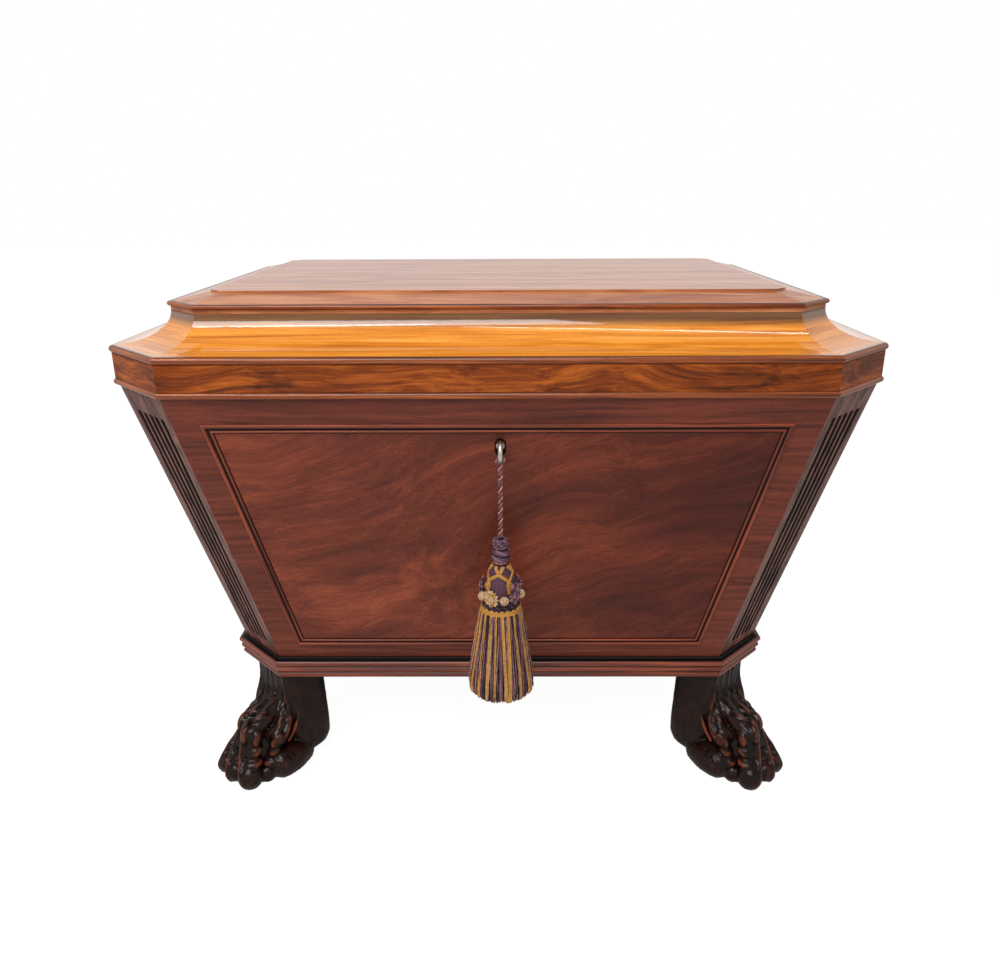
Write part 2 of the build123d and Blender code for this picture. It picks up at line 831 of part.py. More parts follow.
staple_places = [keyhole_x + s * staple_spacing / 2 for s in (-1, 1)]
board_top_y = -overall_depth / 2 + body_top_inset
staple_lean = (selvedge_thickness + staple_drop) * math.tan(math.radians(taper_angle))
case_inner = (lock_skin + lock_sheet) / math.cos(math.radians(taper_angle))
staple_y = board_top_y + staple_lean + case_inner + lock_clearance + staple_width / 2
eye_low = selvedge_bottom - staple_drop + staple_wall
eye_high = selvedge_bottom - staple_wall


def staples():
    """Two tongues under the link plate, each with an eye for a nib of the bolt."""
    solids = []
    half = staple_width / 2
    for x in staple_places:
        left, right = x - staple_thickness / 2, x + staple_thickness / 2
        tongue = box_between((left, staple_y - half, selvedge_bottom - staple_drop),
                             (right, staple_y + half, lid_bottom))
        eye = box_between((left - bite, staple_y - half + staple_wall, eye_low),
                          (right + bite, staple_y + half - staple_wall, eye_high))
        solids.append(tongue - eye)
    return solids


def lock_bolt():
    """Sliding bolt: a plate behind the staples, a nib for each eye and two horns for the talon."""
    plate_high = slope_rise - selvedge_thickness - staple_drop - bolt_plate
    plate_low = plate_high - bolt_bar_height
    post_left = staple_thickness / 2 + nib_clearance + nib_post + bolt_throw + nib_rest
    plate_left = -staple_spacing / 2 - post_left - nib_clearance
    plate_right = -plate_left - bolt_throw + nib_clearance
    z_low = cap_front + lock_clearance
    z_high = z_low + bolt_plate
    bolt = in_lock(box_between((plate_left, plate_low, z_low), (plate_right, plate_high, z_high)))
    nib_half = staple_width / 2 - staple_wall - nib_clearance
    nib_low = eye_low + nib_clearance
    nib_high = eye_high - nib_clearance
    post_low = keyhole_z + slope_up.Z * (plate_low + bolt_plate)
    for x in staple_places:
        left = x - post_left
        tip = x - staple_thickness / 2 - nib_rest
        nib = box_between((left, staple_y - nib_half, nib_low), (tip, staple_y + nib_half, nib_high))
        post = box_between((left, staple_y - nib_half, post_low),
                           (left + nib_post, staple_y + lock_depth, nib_low + nib_post / 2))
        bolt = bolt + nib + (post & lock_inner())
    for side in (-1, 1):
        middle = side * (talon_half + horn_width / 2) - bolt_throw / 2
        horn = box_between((middle - horn_width / 2, key_bit_reach - talon_grip, z_low),
                           (middle + horn_width / 2, plate_low + bolt_plate, z_high + key_bit_length))
        bolt += in_lock(horn)
    return bolt


def lock_inner():
    """Room inside the lock case, less the running clearance."""
    half = lock_width / 2 - lock_sheet - lock_clearance
    room = in_lock(box_between((-half, -lock_below, cap_front + lock_clearance),
                               (half, lock_high, case_front - lock_sheet - lock_clearance)))
    return room & below(selvedge_bottom - lock_clearance)


selvedge_half = selvedge_width / 2
selvedge = box_between((keyhole_x - selvedge_length / 2, staple_y - selvedge_half, selvedge_bottom),
                       (keyhole_x + selvedge_length / 2, staple_y + selvedge_half, body_top))
link_plate = box_between((keyhole_x - link_plate_length / 2, staple_y - link_plate_width / 2, lid_bottom),
                         (keyhole_x + link_plate_length / 2, staple_y + link_plate_width / 2,
                          lid_bottom + link_plate_thickness))


def at_plate_ends(solid, length, z, upward):
    """A copy of a screw or its hole near both ends of a plate, upside down in the lid."""
    turn = Rot(180, 0, 0) if upward else Rot(0, 0, 0)
    reach = length / 2 - lock_screw_margin
    return [Pos(keyhole_x + s * reach, staple_y, z) * turn * solid for s in (-1, 1)]


def staple_slots():
    half_x = staple_thickness / 2 + nib_clearance
    half_y = staple_width / 2 + nib_clearance
    return [box_between((x - half_x, staple_y - half_y, selvedge_bottom - bite),
                        (x + half_x, staple_y + half_y, body_top + bite)) for x in staple_places]


# The link plate is screwed up into the lid, and the selvedge down into the front board
lock_screw = screw(lock_screw_head_radius, lock_screw_radius, lock_screw_length)
lock_screw_hole = screw_hole(lock_screw_head_radius, lock_screw_radius, lock_screw_length)
selvedge_holes = at_plate_ends(lock_screw_hole, selvedge_length, body_top, False)
link_holes = at_plate_ends(lock_screw_hole, link_plate_length, lid_bottom, True)
selvedge = cut_all(selvedge, staple_slots() + selvedge_holes)
link = cut_all(link_plate, link_holes)
for tongue in staples():
    link += tongue


def plate_seat(length, width, z_low, z_high):
    """Recess for the selvedge or the link plate."""
    half_x = length / 2 + lock_clearance
    half_y = width / 2 + lock_clearance
    return box_between((keyhole_x - half_x, staple_y - half_y, z_low),
                       (keyhole_x + half_x, staple_y + half_y, z_high))


selvedge_seat = plate_seat(selvedge_length, selvedge_width, selvedge_bottom, body_top + lid_gap)
link_seat = plate_seat(link_plate_length, link_plate_width, body_top, lid_bottom + link_plate_thickness)
front_cuts = [lock_box(lock_clearance), selvedge_seat, keyhole(0, -escutcheon_depth, wall)]
front_cuts += [keyhole(hole_spare, -lock_skin - lock_sheet, 0)] + selvedge_holes
boards["front"] = cut_all(boards["front"], front_cuts)
frieze_straight["front"] = cut_all(frieze_straight["front"], [link_seat] + link_holes)
escutcheon = keyhole(-escutcheon_fit, -escutcheon_depth, escutcheon_proud)
escutcheon -= keyhole(hole_spare, -wall, wall)


# Key, with its bow and bit in one upright plane

def key_solid():
    """Key in the lock's frame: ring bow, collar, shank, bit and a bore in its end."""
    end = cap_front + lock_clearance + bolt_plate + lock_clearance
    neck = bow_standoff - bow_radius
    shank = Pos(0, 0, (end + neck) / 2) * Cylinder(key_shank_radius, neck - end)
    bow = Pos(0, 0, bow_standoff) * Rot(0, 90, 0) * Torus(bow_radius, bow_bar_radius)
    collar = Cylinder(key_collar_radius, key_collar_length)
    collar = Pos(0, 0, neck - bow_bar_radius - key_collar_length / 2) * collar
    half = key_bit_thickness / 2
    bit = box_between((-half, -key_bit_reach, end), (half, 0, end + key_bit_length))
    ward_high = -key_bit_reach + key_ward_margin + key_ward_depth
    ward_low = -key_bit_reach + key_ward_margin
    ward_side = end + (key_bit_length - key_ward_width) / 2
    ward = box_between((-half, ward_low, ward_side), (half, ward_high, ward_side + key_ward_width))
    bore_length = key_bit_length + key_shank_radius
    bore = Pos(0, 0, end + bore_length / 2) * Cylinder(key_bore_radius, bore_length)
    return in_lock(shank + bow + collar + bit - ward - bore)


# Cord and tassel, hanging plumb below the bow

bow_centre = lock_plane.origin + lock_plane.z_dir * bow_standoff
cord_x = bow_centre.X
cord_y = bow_centre.Y
cord_top = bow_centre.Z - bow_radius - bow_bar_radius - soft_gap
cord_bottom = cord_top - cord_length


def hung(solid, z):
    return Pos(cord_x, cord_y, z) * solid


def turned(outline, height):
    """Solid turned about the cord's line, hanging from its own origin."""
    points = [(radius, -share * height) for radius, share in outline]
    closing = Polyline(points[-1], (0, -height), (0, 0), points[0])
    return revolve(Plane.XZ * make_face(Spline(*points) + closing), Axis.Z)


# The cord's round end turns in a cup in the knot, so that the tassel swings on it
cord = hung(Cylinder(cord_diameter / 2, cord_length), cord_top - cord_length / 2)
cord += hung(Sphere(cord_diameter / 2), cord_bottom)
cup_radius = cord_diameter / 2 + soft_gap
knot_z = cord_bottom - cup_radius / 2
knot = hung(turned(knot_outline, knot_height), knot_z) - hung(Sphere(cup_radius), cord_bottom)
collar_z = knot_z - knot_height - soft_gap
collar = hung(turned(collar_outline, collar_height), collar_z)
band_z = collar_z - collar_height - soft_gap
band = hung(Cylinder(neck_band_radius, neck_band_height), band_z - neck_band_height / 2)
head_z = band_z - neck_band_height - soft_gap
head = hung(turned(head_outline, head_height), head_z)
skirt_z = head_z - head_height - soft_gap
skirt = hung(turned(skirt_outline, skirt_length), skirt_z)


def rosette_ring():
    """Looped rosettes standing round the lower half of the head."""
    ring = []
    widest = max(radius for radius, share in head_outline)
    reach = widest + soft_gap + rosette_thickness / 2
    for i in range(rosette_count):
        turn = 360 / rosette_count * (i + 0.5) - 90
        button = Pos(reach, 0, 0) * Rot(0, 90, 0) * Cylinder(rosette_radius, rosette_thickness)
        ring.append(Pos(cord_x, cord_y, head_z - rosette_drop) * Rot(0, 0, turn) * button)
    return ring


# Write one file for each named piece

nodes = {f"{side}_board": boards[side] for side in sides}
nodes.update({f"corner_post_{quarter}": posts[quarter] for quarter in quarters})
nodes["bottom_board"] = bottom_board
nodes["base_board"] = base_board
nodes["base_moulding_front"] = base_straight["front"]
nodes["base_moulding_back"] = base_straight["back"]
nodes["base_moulding_ends"] = group([base_straight["left"], base_straight["right"]])
nodes["base_moulding_corners"] = base_corners
nodes["field_moulding_front"] = field_moulding("front")
nodes["field_moulding_ends"] = group([field_moulding("left"), field_moulding("right")])
nodes["lead_lining"] = lead_lining()
nodes["divisions_cross"] = group([division(x, True) for x in cross_places])
nodes["divisions_long"] = group([division(y, False) for y in long_places])
nodes.update({f"paw_foot_{quarter}": feet[quarter] for quarter in quarters})
nodes["foot_screws"] = group(foot_screws)
nodes["hinge_leaves_lower"] = hinge_lower
nodes["hinge_leaves_upper"] = hinge_upper
nodes["hinge_pins"] = hinge_pins
nodes["hinge_screws_lower"] = group(at_hinge_screws(hinge_screw, False))
nodes["hinge_screws_upper"] = group(at_hinge_screws(hinge_screw, True))
nodes["lock_case"] = lock_case()
nodes["lock_cap"] = lock_cap()
nodes["lock_bolt"] = lock_bolt()
nodes["lock_selvedge"] = selvedge
nodes["selvedge_screws"] = group(at_plate_ends(lock_screw, selvedge_length, body_top, False))
nodes["escutcheon"] = escutcheon
nodes["key"] = key_solid()
nodes["cord"] = cord
nodes["tassel_knot"] = knot
nodes["tassel_collar"] = group([collar, band])
nodes["tassel_head"] = head
nodes["tassel_rosettes"] = group(rosette_ring())
nodes["tassel_skirt"] = skirt
nodes.update({f"lid_frieze_{side}": frieze_straight[side] for side in sides})
nodes["lid_frieze_corners"] = frieze_corners
nodes.update({f"lid_cove_{side}": cove_straight[side] for side in sides})
nodes["lid_cove_corners"] = cove_corners
nodes["lid_lower_bead"] = group(lower_beads)
nodes["lid_rim_bead"] = group(rim_beads)
nodes["lid_top_bead"] = group(top_beads)
nodes["lid_top_board"] = top_board()
nodes["lid_raised_panel"] = raised_panel
nodes["link_plate"] = link
nodes["link_screws"] = group(at_plate_ends(lock_screw, link_plate_length, lid_bottom, True))

os.makedirs("parts", exist_ok=True)
for name, shape in nodes.items():
    export_step(shape, f"parts/{name}.step")
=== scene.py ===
import json
import math
import random

import bmesh
import bpy
import numpy as np
from bpy.props import FloatProperty, IntProperty, PointerProperty, StringProperty
from mathutils import Matrix, Vector, noise


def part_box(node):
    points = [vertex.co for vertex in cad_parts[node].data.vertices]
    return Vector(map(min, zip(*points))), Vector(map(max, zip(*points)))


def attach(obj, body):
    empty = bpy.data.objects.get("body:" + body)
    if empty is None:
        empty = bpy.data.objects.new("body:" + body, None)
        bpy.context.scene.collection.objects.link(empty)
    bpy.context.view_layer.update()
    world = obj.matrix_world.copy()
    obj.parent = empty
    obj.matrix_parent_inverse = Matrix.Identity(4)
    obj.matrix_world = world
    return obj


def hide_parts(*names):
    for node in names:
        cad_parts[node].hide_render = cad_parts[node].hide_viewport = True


bl_info = {
    "name": "Mahogany cellarette",
    "version": (1, 0, 0),
    "blender": (4, 5, 0),
    "location": "View3D > Sidebar > Cellarette",
    "description": "Builds the visible pieces and finishes of a mahogany cellarette around its fixed frame",
    "category": "Add Mesh",
}

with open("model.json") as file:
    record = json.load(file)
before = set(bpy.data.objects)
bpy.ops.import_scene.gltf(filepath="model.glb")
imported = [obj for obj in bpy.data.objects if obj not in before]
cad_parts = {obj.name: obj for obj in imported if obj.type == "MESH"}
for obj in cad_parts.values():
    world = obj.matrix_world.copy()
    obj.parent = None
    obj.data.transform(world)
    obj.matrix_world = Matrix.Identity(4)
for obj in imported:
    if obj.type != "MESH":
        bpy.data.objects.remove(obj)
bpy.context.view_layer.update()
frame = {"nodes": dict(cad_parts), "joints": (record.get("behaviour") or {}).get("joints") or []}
nodes = frame["nodes"]
joints = {joint["name"]: joint for joint in frame["joints"]}
MM = 0.001
QUARTERS = {"front_right": (1, -1), "back_right": (1, 1), "back_left": (-1, 1), "front_left": (-1, -1)}

# Levels and reaches taken from the frame, in metres
rim_low, rim_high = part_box("lid_rim_bead")
bead_low, bead_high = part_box("lid_top_bead")
lower_low, lower_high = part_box("lid_lower_bead")
cove_low, cove_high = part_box("lid_cove_corners")
body_low, body_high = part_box("front_board")
base_low, base_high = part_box("base_moulding_corners")
frieze_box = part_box("lid_frieze_front")


def linear(hex_colour):
    """An sRGB hex colour as linear red, green, blue and alpha."""
    parts = [int(hex_colour[i:i + 2], 16) / 255 for i in (1, 3, 5)]
    return [c / 12.92 if c <= 0.04045 else ((c + 0.055) / 1.055) ** 2.4 for c in parts] + [1.0]


# Finishes

def node(tree, kind, inputs=(), ramp=None, **settings):
    """Adds a node of a kind, applies its settings, and sets or links each input.

    An input is given a number, a colour, a socket, or a node that stands for its first output.
    """
    made = tree.nodes.new("ShaderNode" + kind)
    for key, value in settings.items():
        setattr(made, key, value)
    if ramp:
        elements = made.color_ramp.elements
        while len(elements) < len(ramp):
            elements.new(1.0)
        for element, (place, colour) in zip(elements, ramp):
            element.position = place
            element.color = colour
    for key, value in dict(inputs).items():
        if isinstance(value, bpy.types.Node):
            value = value.outputs[0]
        if isinstance(value, bpy.types.NodeSocket):
            tree.links.new(value, made.inputs[key])
        else:
            made.inputs[key].default_value = value
    return made


def new_material(name):
    """An empty material with its output node."""
    material = bpy.data.materials.new(name)
    material.use_nodes = True
    material.node_tree.nodes.clear()
    return material, material.node_tree, material.node_tree.nodes.new("ShaderNodeOutputMaterial")


def grain_space(tree, along):
    """Coordinates in metres with X along the grain: by a frame axis, or a piece's own grain attribute."""
    if along == "PIECE":
        return node(tree, "Attribute", attribute_name="grain").outputs["Vector"]
    place = node(tree, "TexCoord").outputs["Object"]
    if along == "CORNER":
        parts = node(tree, "SeparateXYZ", {"Vector": place})
        signs = [node(tree, "Math", {0: parts.outputs[axis]}, operation="SIGN") for axis in ("X", "Y")]
        one = node(tree, "Math", {0: parts.outputs["X"], 1: signs[1]}, operation="MULTIPLY")
        two = node(tree, "Math", {0: parts.outputs["Y"], 1: signs[0]}, operation="MULTIPLY")
        run = node(tree, "Math", {0: one, 1: two}, operation="SUBTRACT")
        turned = node(tree, "Math", {0: run, 1: math.sqrt(0.5)}, operation="MULTIPLY")
        joined = {"X": turned.outputs[0], "Y": parts.outputs["Z"], "Z": signs[0].outputs[0]}
        return node(tree, "CombineXYZ", joined).outputs[0]
    turn = {"X": (0, 0, 0), "Y": (0, 0, -math.pi / 2), "Z": (0, math.pi / 2, 0)}[along]
    return node(tree, "Mapping", {"Vector": place, "Rotation": turn}).outputs[0]


def streaks(tree, place, length, width, detail=5.0, distortion=0.6, rough=0.55):
    """Noise drawn out along the grain; length and width of one streak in metres."""
    scaled = node(tree, "VectorMath", {0: place, 1: (1 / length, 1 / width, 1 / width)},
                  operation="MULTIPLY")
    made = node(tree, "TexNoise", {"Vector": scaled, "Scale": 1.0, "Detail": detail,
                                   "Roughness": rough, "Distortion": distortion})
    return made.outputs["Fac"]


def warped(tree, place, scale, amount):
    """Place pushed about by a slow noise, so that straight grain runs in swirls."""
    slow = node(tree, "TexNoise", {"Vector": place, "Scale": scale, "Detail": 1.5, "Roughness": 0.5})
    centred = node(tree, "VectorMath", {0: slow.outputs["Color"], 1: (0.5, 0.5, 0.5)}, operation="SUBTRACT")
    pushed = node(tree, "VectorMath", {0: centred, 1: (amount, amount, amount)}, operation="MULTIPLY")
    return node(tree, "VectorMath", {0: place, 1: pushed}, operation="ADD").outputs[0]


def polished(tree, output, colour, height, roughness, coat, coat_roughness, bump, gloss=0.12):
    """French polish: satin timber under a thin clear film that follows the pores a little."""
    relief = node(tree, "Bump", {"Height": height, "Strength": 1.0, "Distance": bump})
    shader = node(tree, "BsdfPrincipled", {
        "Base Color": colour, "Roughness": roughness, "IOR": 1.5, "Specular IOR Level": gloss,
        "Coat Weight": coat, "Coat Roughness": coat_roughness, "Coat IOR": 1.5,
        "Normal": relief, "Coat Normal": relief})
    tree.links.new(shader.outputs[0], output.inputs["Surface"])


def mahogany(name, along, dark, middle, light, figure=0.02, swirl=0.0, pore=0.35, roughness=0.42,
             coat=0.5, coat_roughness=0.16, bump=0.00025, hollows=False, streak_length=0.12, gloss=0.12):
    """Mahogany under french polish: warm bands along the grain, short dark pores and a soft sheen."""
    material, tree, output = new_material(name)
    place = grain_space(tree, along)
    if swirl:
        place = warped(tree, place, 7.0, swirl)
    broad = streaks(tree, place, streak_length * 1.6, figure, detail=3.0, distortion=0.9)
    fine = streaks(tree, place, streak_length, figure / 7)
    tone = 0.0
    for grain, share in ((broad, 0.62), (fine, 0.38)):
        tone = node(tree, "Math", {0: grain, 1: share, 2: tone}, operation="MULTIPLY_ADD")
    ramp = [(0.36, linear(dark)), (0.5, linear(middle)), (0.66, linear(light))]
    colour = node(tree, "ValToRGB", {"Fac": tone}, ramp=ramp).outputs[0]
    # The pores are drawn about 0.8 mm wide, coarser than they are, so that they show
    pores = streaks(tree, place, 9 * MM, 0.8 * MM, detail=1.0, distortion=0.0)
    dots = node(tree, "MapRange", {"Value": pores, "From Min": 0.60, "From Max": 0.72, "To Max": pore})
    colour = node(tree, "Mix", {0: dots, 6: colour, 7: linear(dark)}, data_type="RGBA",
                  blend_type="MULTIPLY").outputs[2]
    # Painted shade: the hollow attribute darkens recesses towards near black
    if hollows:
        hollow = node(tree, "Attribute", attribute_name="hollow").outputs["Fac"]
        colour = node(tree, "Mix", {0: hollow, 6: colour, 7: linear("#070303")},
                      data_type="RGBA").outputs[2]
    slow = streaks(tree, place, 0.2, 0.03, detail=2.0, distortion=0.0)
    height = node(tree, "Math", {0: dots, 1: -0.35, 2: slow}, operation="MULTIPLY_ADD")
    polished(tree, output, colour, height, roughness, coat, coat_roughness, bump, gloss)
    return material


# Mesh building

def joined(parts):
    """Several (points, faces) lists as one."""
    points, faces = [], []
    for part_points, part_faces in parts:
        start = len(points)
        points += [Vector(p) for p in part_points]
        faces += [tuple(i + start for i in face) for face in part_faces]
    return points, faces


def add_piece(name, points, faces, finishes, body, replaces=(), smooth=True, marks=None,
              indices=None):
    """A mesh piece that rides on a body, with its finish and the nodes that it stands for."""
    mesh = bpy.data.meshes.new(name)
    mesh.from_pydata([tuple(p) for p in points], [], faces)
    for key, values in (marks or {}).items():
        kind = "FLOAT_VECTOR" if np.ndim(values) == 2 else "FLOAT"
        attribute = mesh.attributes.new(key, kind, "POINT")
        target = "vector" if kind == "FLOAT_VECTOR" else "value"
        attribute.data.foreach_set(target, np.asarray(values, np.float32).ravel())
    for finish in finishes:
        mesh.materials.append(finish)
    if indices is not None:
        mesh.polygons.foreach_set("material_index", indices)
    if smooth:
        mesh.shade_smooth()
    shell = bmesh.new()
    shell.from_mesh(mesh)
    bmesh.ops.recalc_face_normals(shell, faces=shell.faces)
    shell.to_mesh(mesh)
    shell.free()
    mesh.update()
    piece = bpy.data.objects.new(name, mesh)
    bpy.context.scene.collection.objects.link(piece)
    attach(piece, body)
    if replaces:
        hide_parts(*replaces)
    return piece


def tube(path, radii, sides=10, flat=1.0):
    """A round-ended tube along a path; flat squeezes its section along the second axis."""
    path = [Vector(p) for p in path]
    count = len(path)
    radii = list(radii) if hasattr(radii, "__len__") else [radii] * count
    ways = [(path[min(i + 1, count - 1)] - path[max(i - 1, 0)]).normalized() for i in range(count)]
    side = ways[0].orthogonal().normalized()
    rings = []
    for point, way, radius in zip(path, ways, radii):
        side = (side - way * side.dot(way)).normalized()
        rings.append((point, way, side, way.cross(side), radius))
    caps = 3
    first, last = rings[0], rings[-1]
    loops = []
    for k in range(caps):
        turn = math.pi / 2 * (1 - (k + 1) / (caps + 1))
        loops.append((first, -math.sin(turn), math.cos(turn)))
    loops += [(ring, 0.0, 1.0) for ring in rings]
    for k in range(caps):
        turn = math.pi / 2 * (k + 1) / (caps + 1)
        loops.append((last, math.sin(turn), math.cos(turn)))
    points = [first[0] - first[1] * first[4]]
    for (point, way, one, two, radius), push, share in loops:
        for i in range(sides):
            turn = 2 * math.pi * i / sides
            round_off = one * math.cos(turn) + two * math.sin(turn) * flat
            points.append(point + way * radius * push + round_off * radius * share)
    points.append(last[0] + last[1] * last[4])
    faces = [(0, 1 + (i + 1) % sides, 1 + i) for i in range(sides)]
    for k in range(len(loops) - 1):
        low, high = 1 + k * sides, 1 + (k + 1) * sides
        faces += [(low + i, low + (i + 1) % sides, high + (i + 1) % sides, high + i) for i in range(sides)]
    top = 1 + (len(loops) - 1) * sides
    faces += [(top + i, top + (i + 1) % sides, len(points) - 1) for i in range(sides)]
    return points, faces


def ellipsoid(middle, radii, turn=None, rows=14, columns=20):
    """A closed rounded lump."""
    turn = turn or Matrix.Identity(3)
    middle = Vector(middle)
    shape = [Vector((0, 0, -1))]
    for r in range(1, rows):
        lift = math.pi * (r / rows - 0.5)
        shape += [Vector((math.cos(lift) * math.cos(a), math.cos(lift) * math.sin(a), math.sin(lift)))
                  for a in (2 * math.pi * c / columns for c in range(columns))]
    shape.append(Vector((0, 0, 1)))
    points = [middle + turn @ Vector((p.x * radii[0], p.y * radii[1], p.z * radii[2])) for p in shape]
    faces = [(0, 1 + (c + 1) % columns, 1 + c) for c in range(columns)]
    for r in range(rows - 2):
        low, high = 1 + r * columns, 1 + (r + 1) * columns
        faces += [(low + c, low + (c + 1) % columns, high + (c + 1) % columns, high + c)
                  for c in range(columns)]
    top = 1 + (rows - 2) * columns
    faces += [(top + c, top + (c + 1) % columns, len(points) - 1) for c in range(columns)]
    return points, faces


def octagon(half_x, half_y, cant):
    """Corners of a rectangle with canted corners, anticlockwise from the front right."""
    quarter = [(half_x - cant, -half_y), (half_x, -half_y + cant)]
    right = quarter + [(x, -y) for x, y in reversed(quarter)]
    return [Vector((x, y, 0)) for x, y in right + [(-x, -y) for x, y in right]]


def strips(profile, corners, place=Matrix.Identity(4), cut=0.012):
    """Mitred lengths of a closed profile round closed corners.

    The profile's points are (outward, up, hollow), hollow being the share of painted shade there. Each
    strip is (points, faces, grain, hollow).
    """
    count = len(corners)
    made = []
    for i in range(count):
        start, end = corners[i], corners[(i + 1) % count]
        before = (start - corners[i - 1]).normalized()
        after = (corners[(i + 2) % count] - end).normalized()
        along = (end - start).normalized()
        out = Vector((along.y, -along.x, 0))
        lead_in = math.tan(before.angle(along) / 2)
        lead_out = math.tan(along.angle(after) / 2)
        length = (end - start).length
        rings = max(2, round(length / cut) + 1)
        spans = [math.dist(profile[j][:2], profile[j - 1][:2]) if j else 0.0 for j in range(len(profile))]
        across = np.cumsum(spans)
        points, grain, hollow = [], [], []
        for k in range(rings):
            share = k / (rings - 1)
            for (reach, up, painted_shade), girth in zip(profile, across):
                low = -reach * lead_in
                high = length + reach * lead_out
                run = low + (high - low) * share
                points.append(place @ (start + along * run + out * reach + Vector((0, 0, up))))
                grain.append((run + 1.7 * i, girth, 0.9 * i))
                hollow.append(painted_shade)
        width = len(profile)
        faces = [tuple(reversed(range(width))), tuple(range((rings - 1) * width, rings * width))]
        for k in range(rings - 1):
            for j in range(width):
                a, b = k * width + j, k * width + (j + 1) % width
                faces.append((a, b, b + width, a + width))
        made.append((points, faces, grain, hollow))
    return made


def add_strips(name, made, chosen, finish, body, replaces):
    """One piece from the chosen strips of a moulding."""
    picked = [made[i] for i in chosen]
    points, faces = joined([item[:2] for item in picked])
    marks = {"grain": [g for item in picked for g in item[2]],
             "hollow": [h for item in picked for h in item[3]]}
    piece = add_piece(name, points, faces, [finish], body, replaces, marks=marks)
    piece.data.set_sharp_from_angle(angle=math.radians(32))
    return piece


def arc(middle, radii, start, end, steps, painted_shade=0.0):
    """Points (outward, up, hollow) of part of an ellipse, angles in degrees."""
    turns = [math.radians(start + (end - start) * k / steps) for k in range(steps + 1)]
    return [(middle[0] + radii[0] * math.cos(t), middle[1] + radii[1] * math.sin(t), painted_shade) for t in turns]


def flank(lift, start, span):
    """Painted shade beside a bead: none on its crown, then more and more from a share of its radius on."""
    return min(1.0, max(0.0, (lift - start) / span))


STRAIGHT = {"right": 1, "back": 3, "left": 5, "front": 7}
CORNERS = (0, 2, 4, 6)


# Carved paw foot, drawn in millimetres with X along the diagonal it faces

def evaluated(piece):
    """The piece's mesh with its modifiers applied, as a new mesh."""
    seen = bpy.context.evaluated_depsgraph_get()
    return bpy.data.meshes.new_from_object(piece.evaluated_get(seen))


def relaxed(points, edges, rounds, share=0.5):
    """Points moved towards the mean of their neighbours, some rounds over."""
    total = len(points)
    ends = np.concatenate((edges[:, 0], edges[:, 1]))
    others = np.concatenate((edges[:, 1], edges[:, 0]))
    counts = np.maximum(np.bincount(ends, minlength=total), 1)
    for _ in range(rounds):
        means = [np.bincount(ends, weights=points[others, axis], minlength=total) / counts
                 for axis in range(3)]
        points = points + (np.stack(means, axis=1) - points) * share
    return points


def ring_stack(rings, sides):
    """A closed skin over rings of equal count, from the first to the last."""
    points = [p for ring in rings for p in ring]
    faces = [tuple(reversed(range(sides)))]
    for k in range(len(rings) - 1):
        for i in range(sides):
            a, b = k * sides + i, k * sides + (i + 1) % sides
            faces.append((a, b, b + sides, a + sides))
    faces.append(tuple(range((len(rings) - 1) * sides, len(rings) * sides)))
    return points, faces


def leg_block():
    """The leg: a rounded upright that flares a little towards the heel and rounds in under it."""
    front, back, near, far = -16.0, -73.0, -35.0, 40.0
    levels = [(8, -18), (9.5, -11), (13, -5), (19, 0), (28, 2.4), (46, 3), (137, 0)]
    rings = []
    for z, spare in levels:
        edge = back - spare
        left, right = near - spare, far + spare
        ring = []
        for x, y, radius, start in ((front - 15, right - 15, 15, 0), (edge + 22, right - 22, 22, 90),
                                    (edge + 22, left + 22, 22, 180), (front - 15, left + 15, 15, 270)):
            turns = [math.radians(start + 90 * k / 8) for k in range(9)]
            ring += [Vector((x + radius * math.cos(t), y + radius * math.sin(t), z)) for t in turns]
        rings.append(ring)
    return ring_stack(rings, 36)


# Knuckle, its radius, tip, its radius, and the tendon's points; Y runs towards the case's front or back
TOES = (
    ((-6, -30, 58), 10.5, (22, -35, 11.5), 12, ((-20, -29, 142), (-20, -29, 112), (-17, -30, 92),
                                                (-12, -30, 74))),
    ((10, -12, 65), 10.5, (45, -16, 12), 12.5,
     ((-20, -23, 142), (-20, -23, 112), (-18, -24, 91), (-9, -18, 82), (0, -14, 78))),
    ((22, -1, 66), 12, (46.5, 5, 12.5), 13,
     ((-19, -13, 142), (-19, -13, 110), (-17, -14, 93), (-6, -2, 83), (6, 2, 80), (14, 1, 78))),
    ((28, 20, 65), 14, (41, 29, 14.5), 16,
     ((-19, -2, 142), (-19, -2, 110), (-17, 1, 95), (-6, 12, 86), (8, 20, 81), (18, 20, 79))),
    ((6, 37, 58), 11, (21, 34, 11), 11,
     ((-19, 13, 142), (-19, 14, 110), (-17, 20, 92), (-11, 28, 82), (-5, 33, 74))),
)


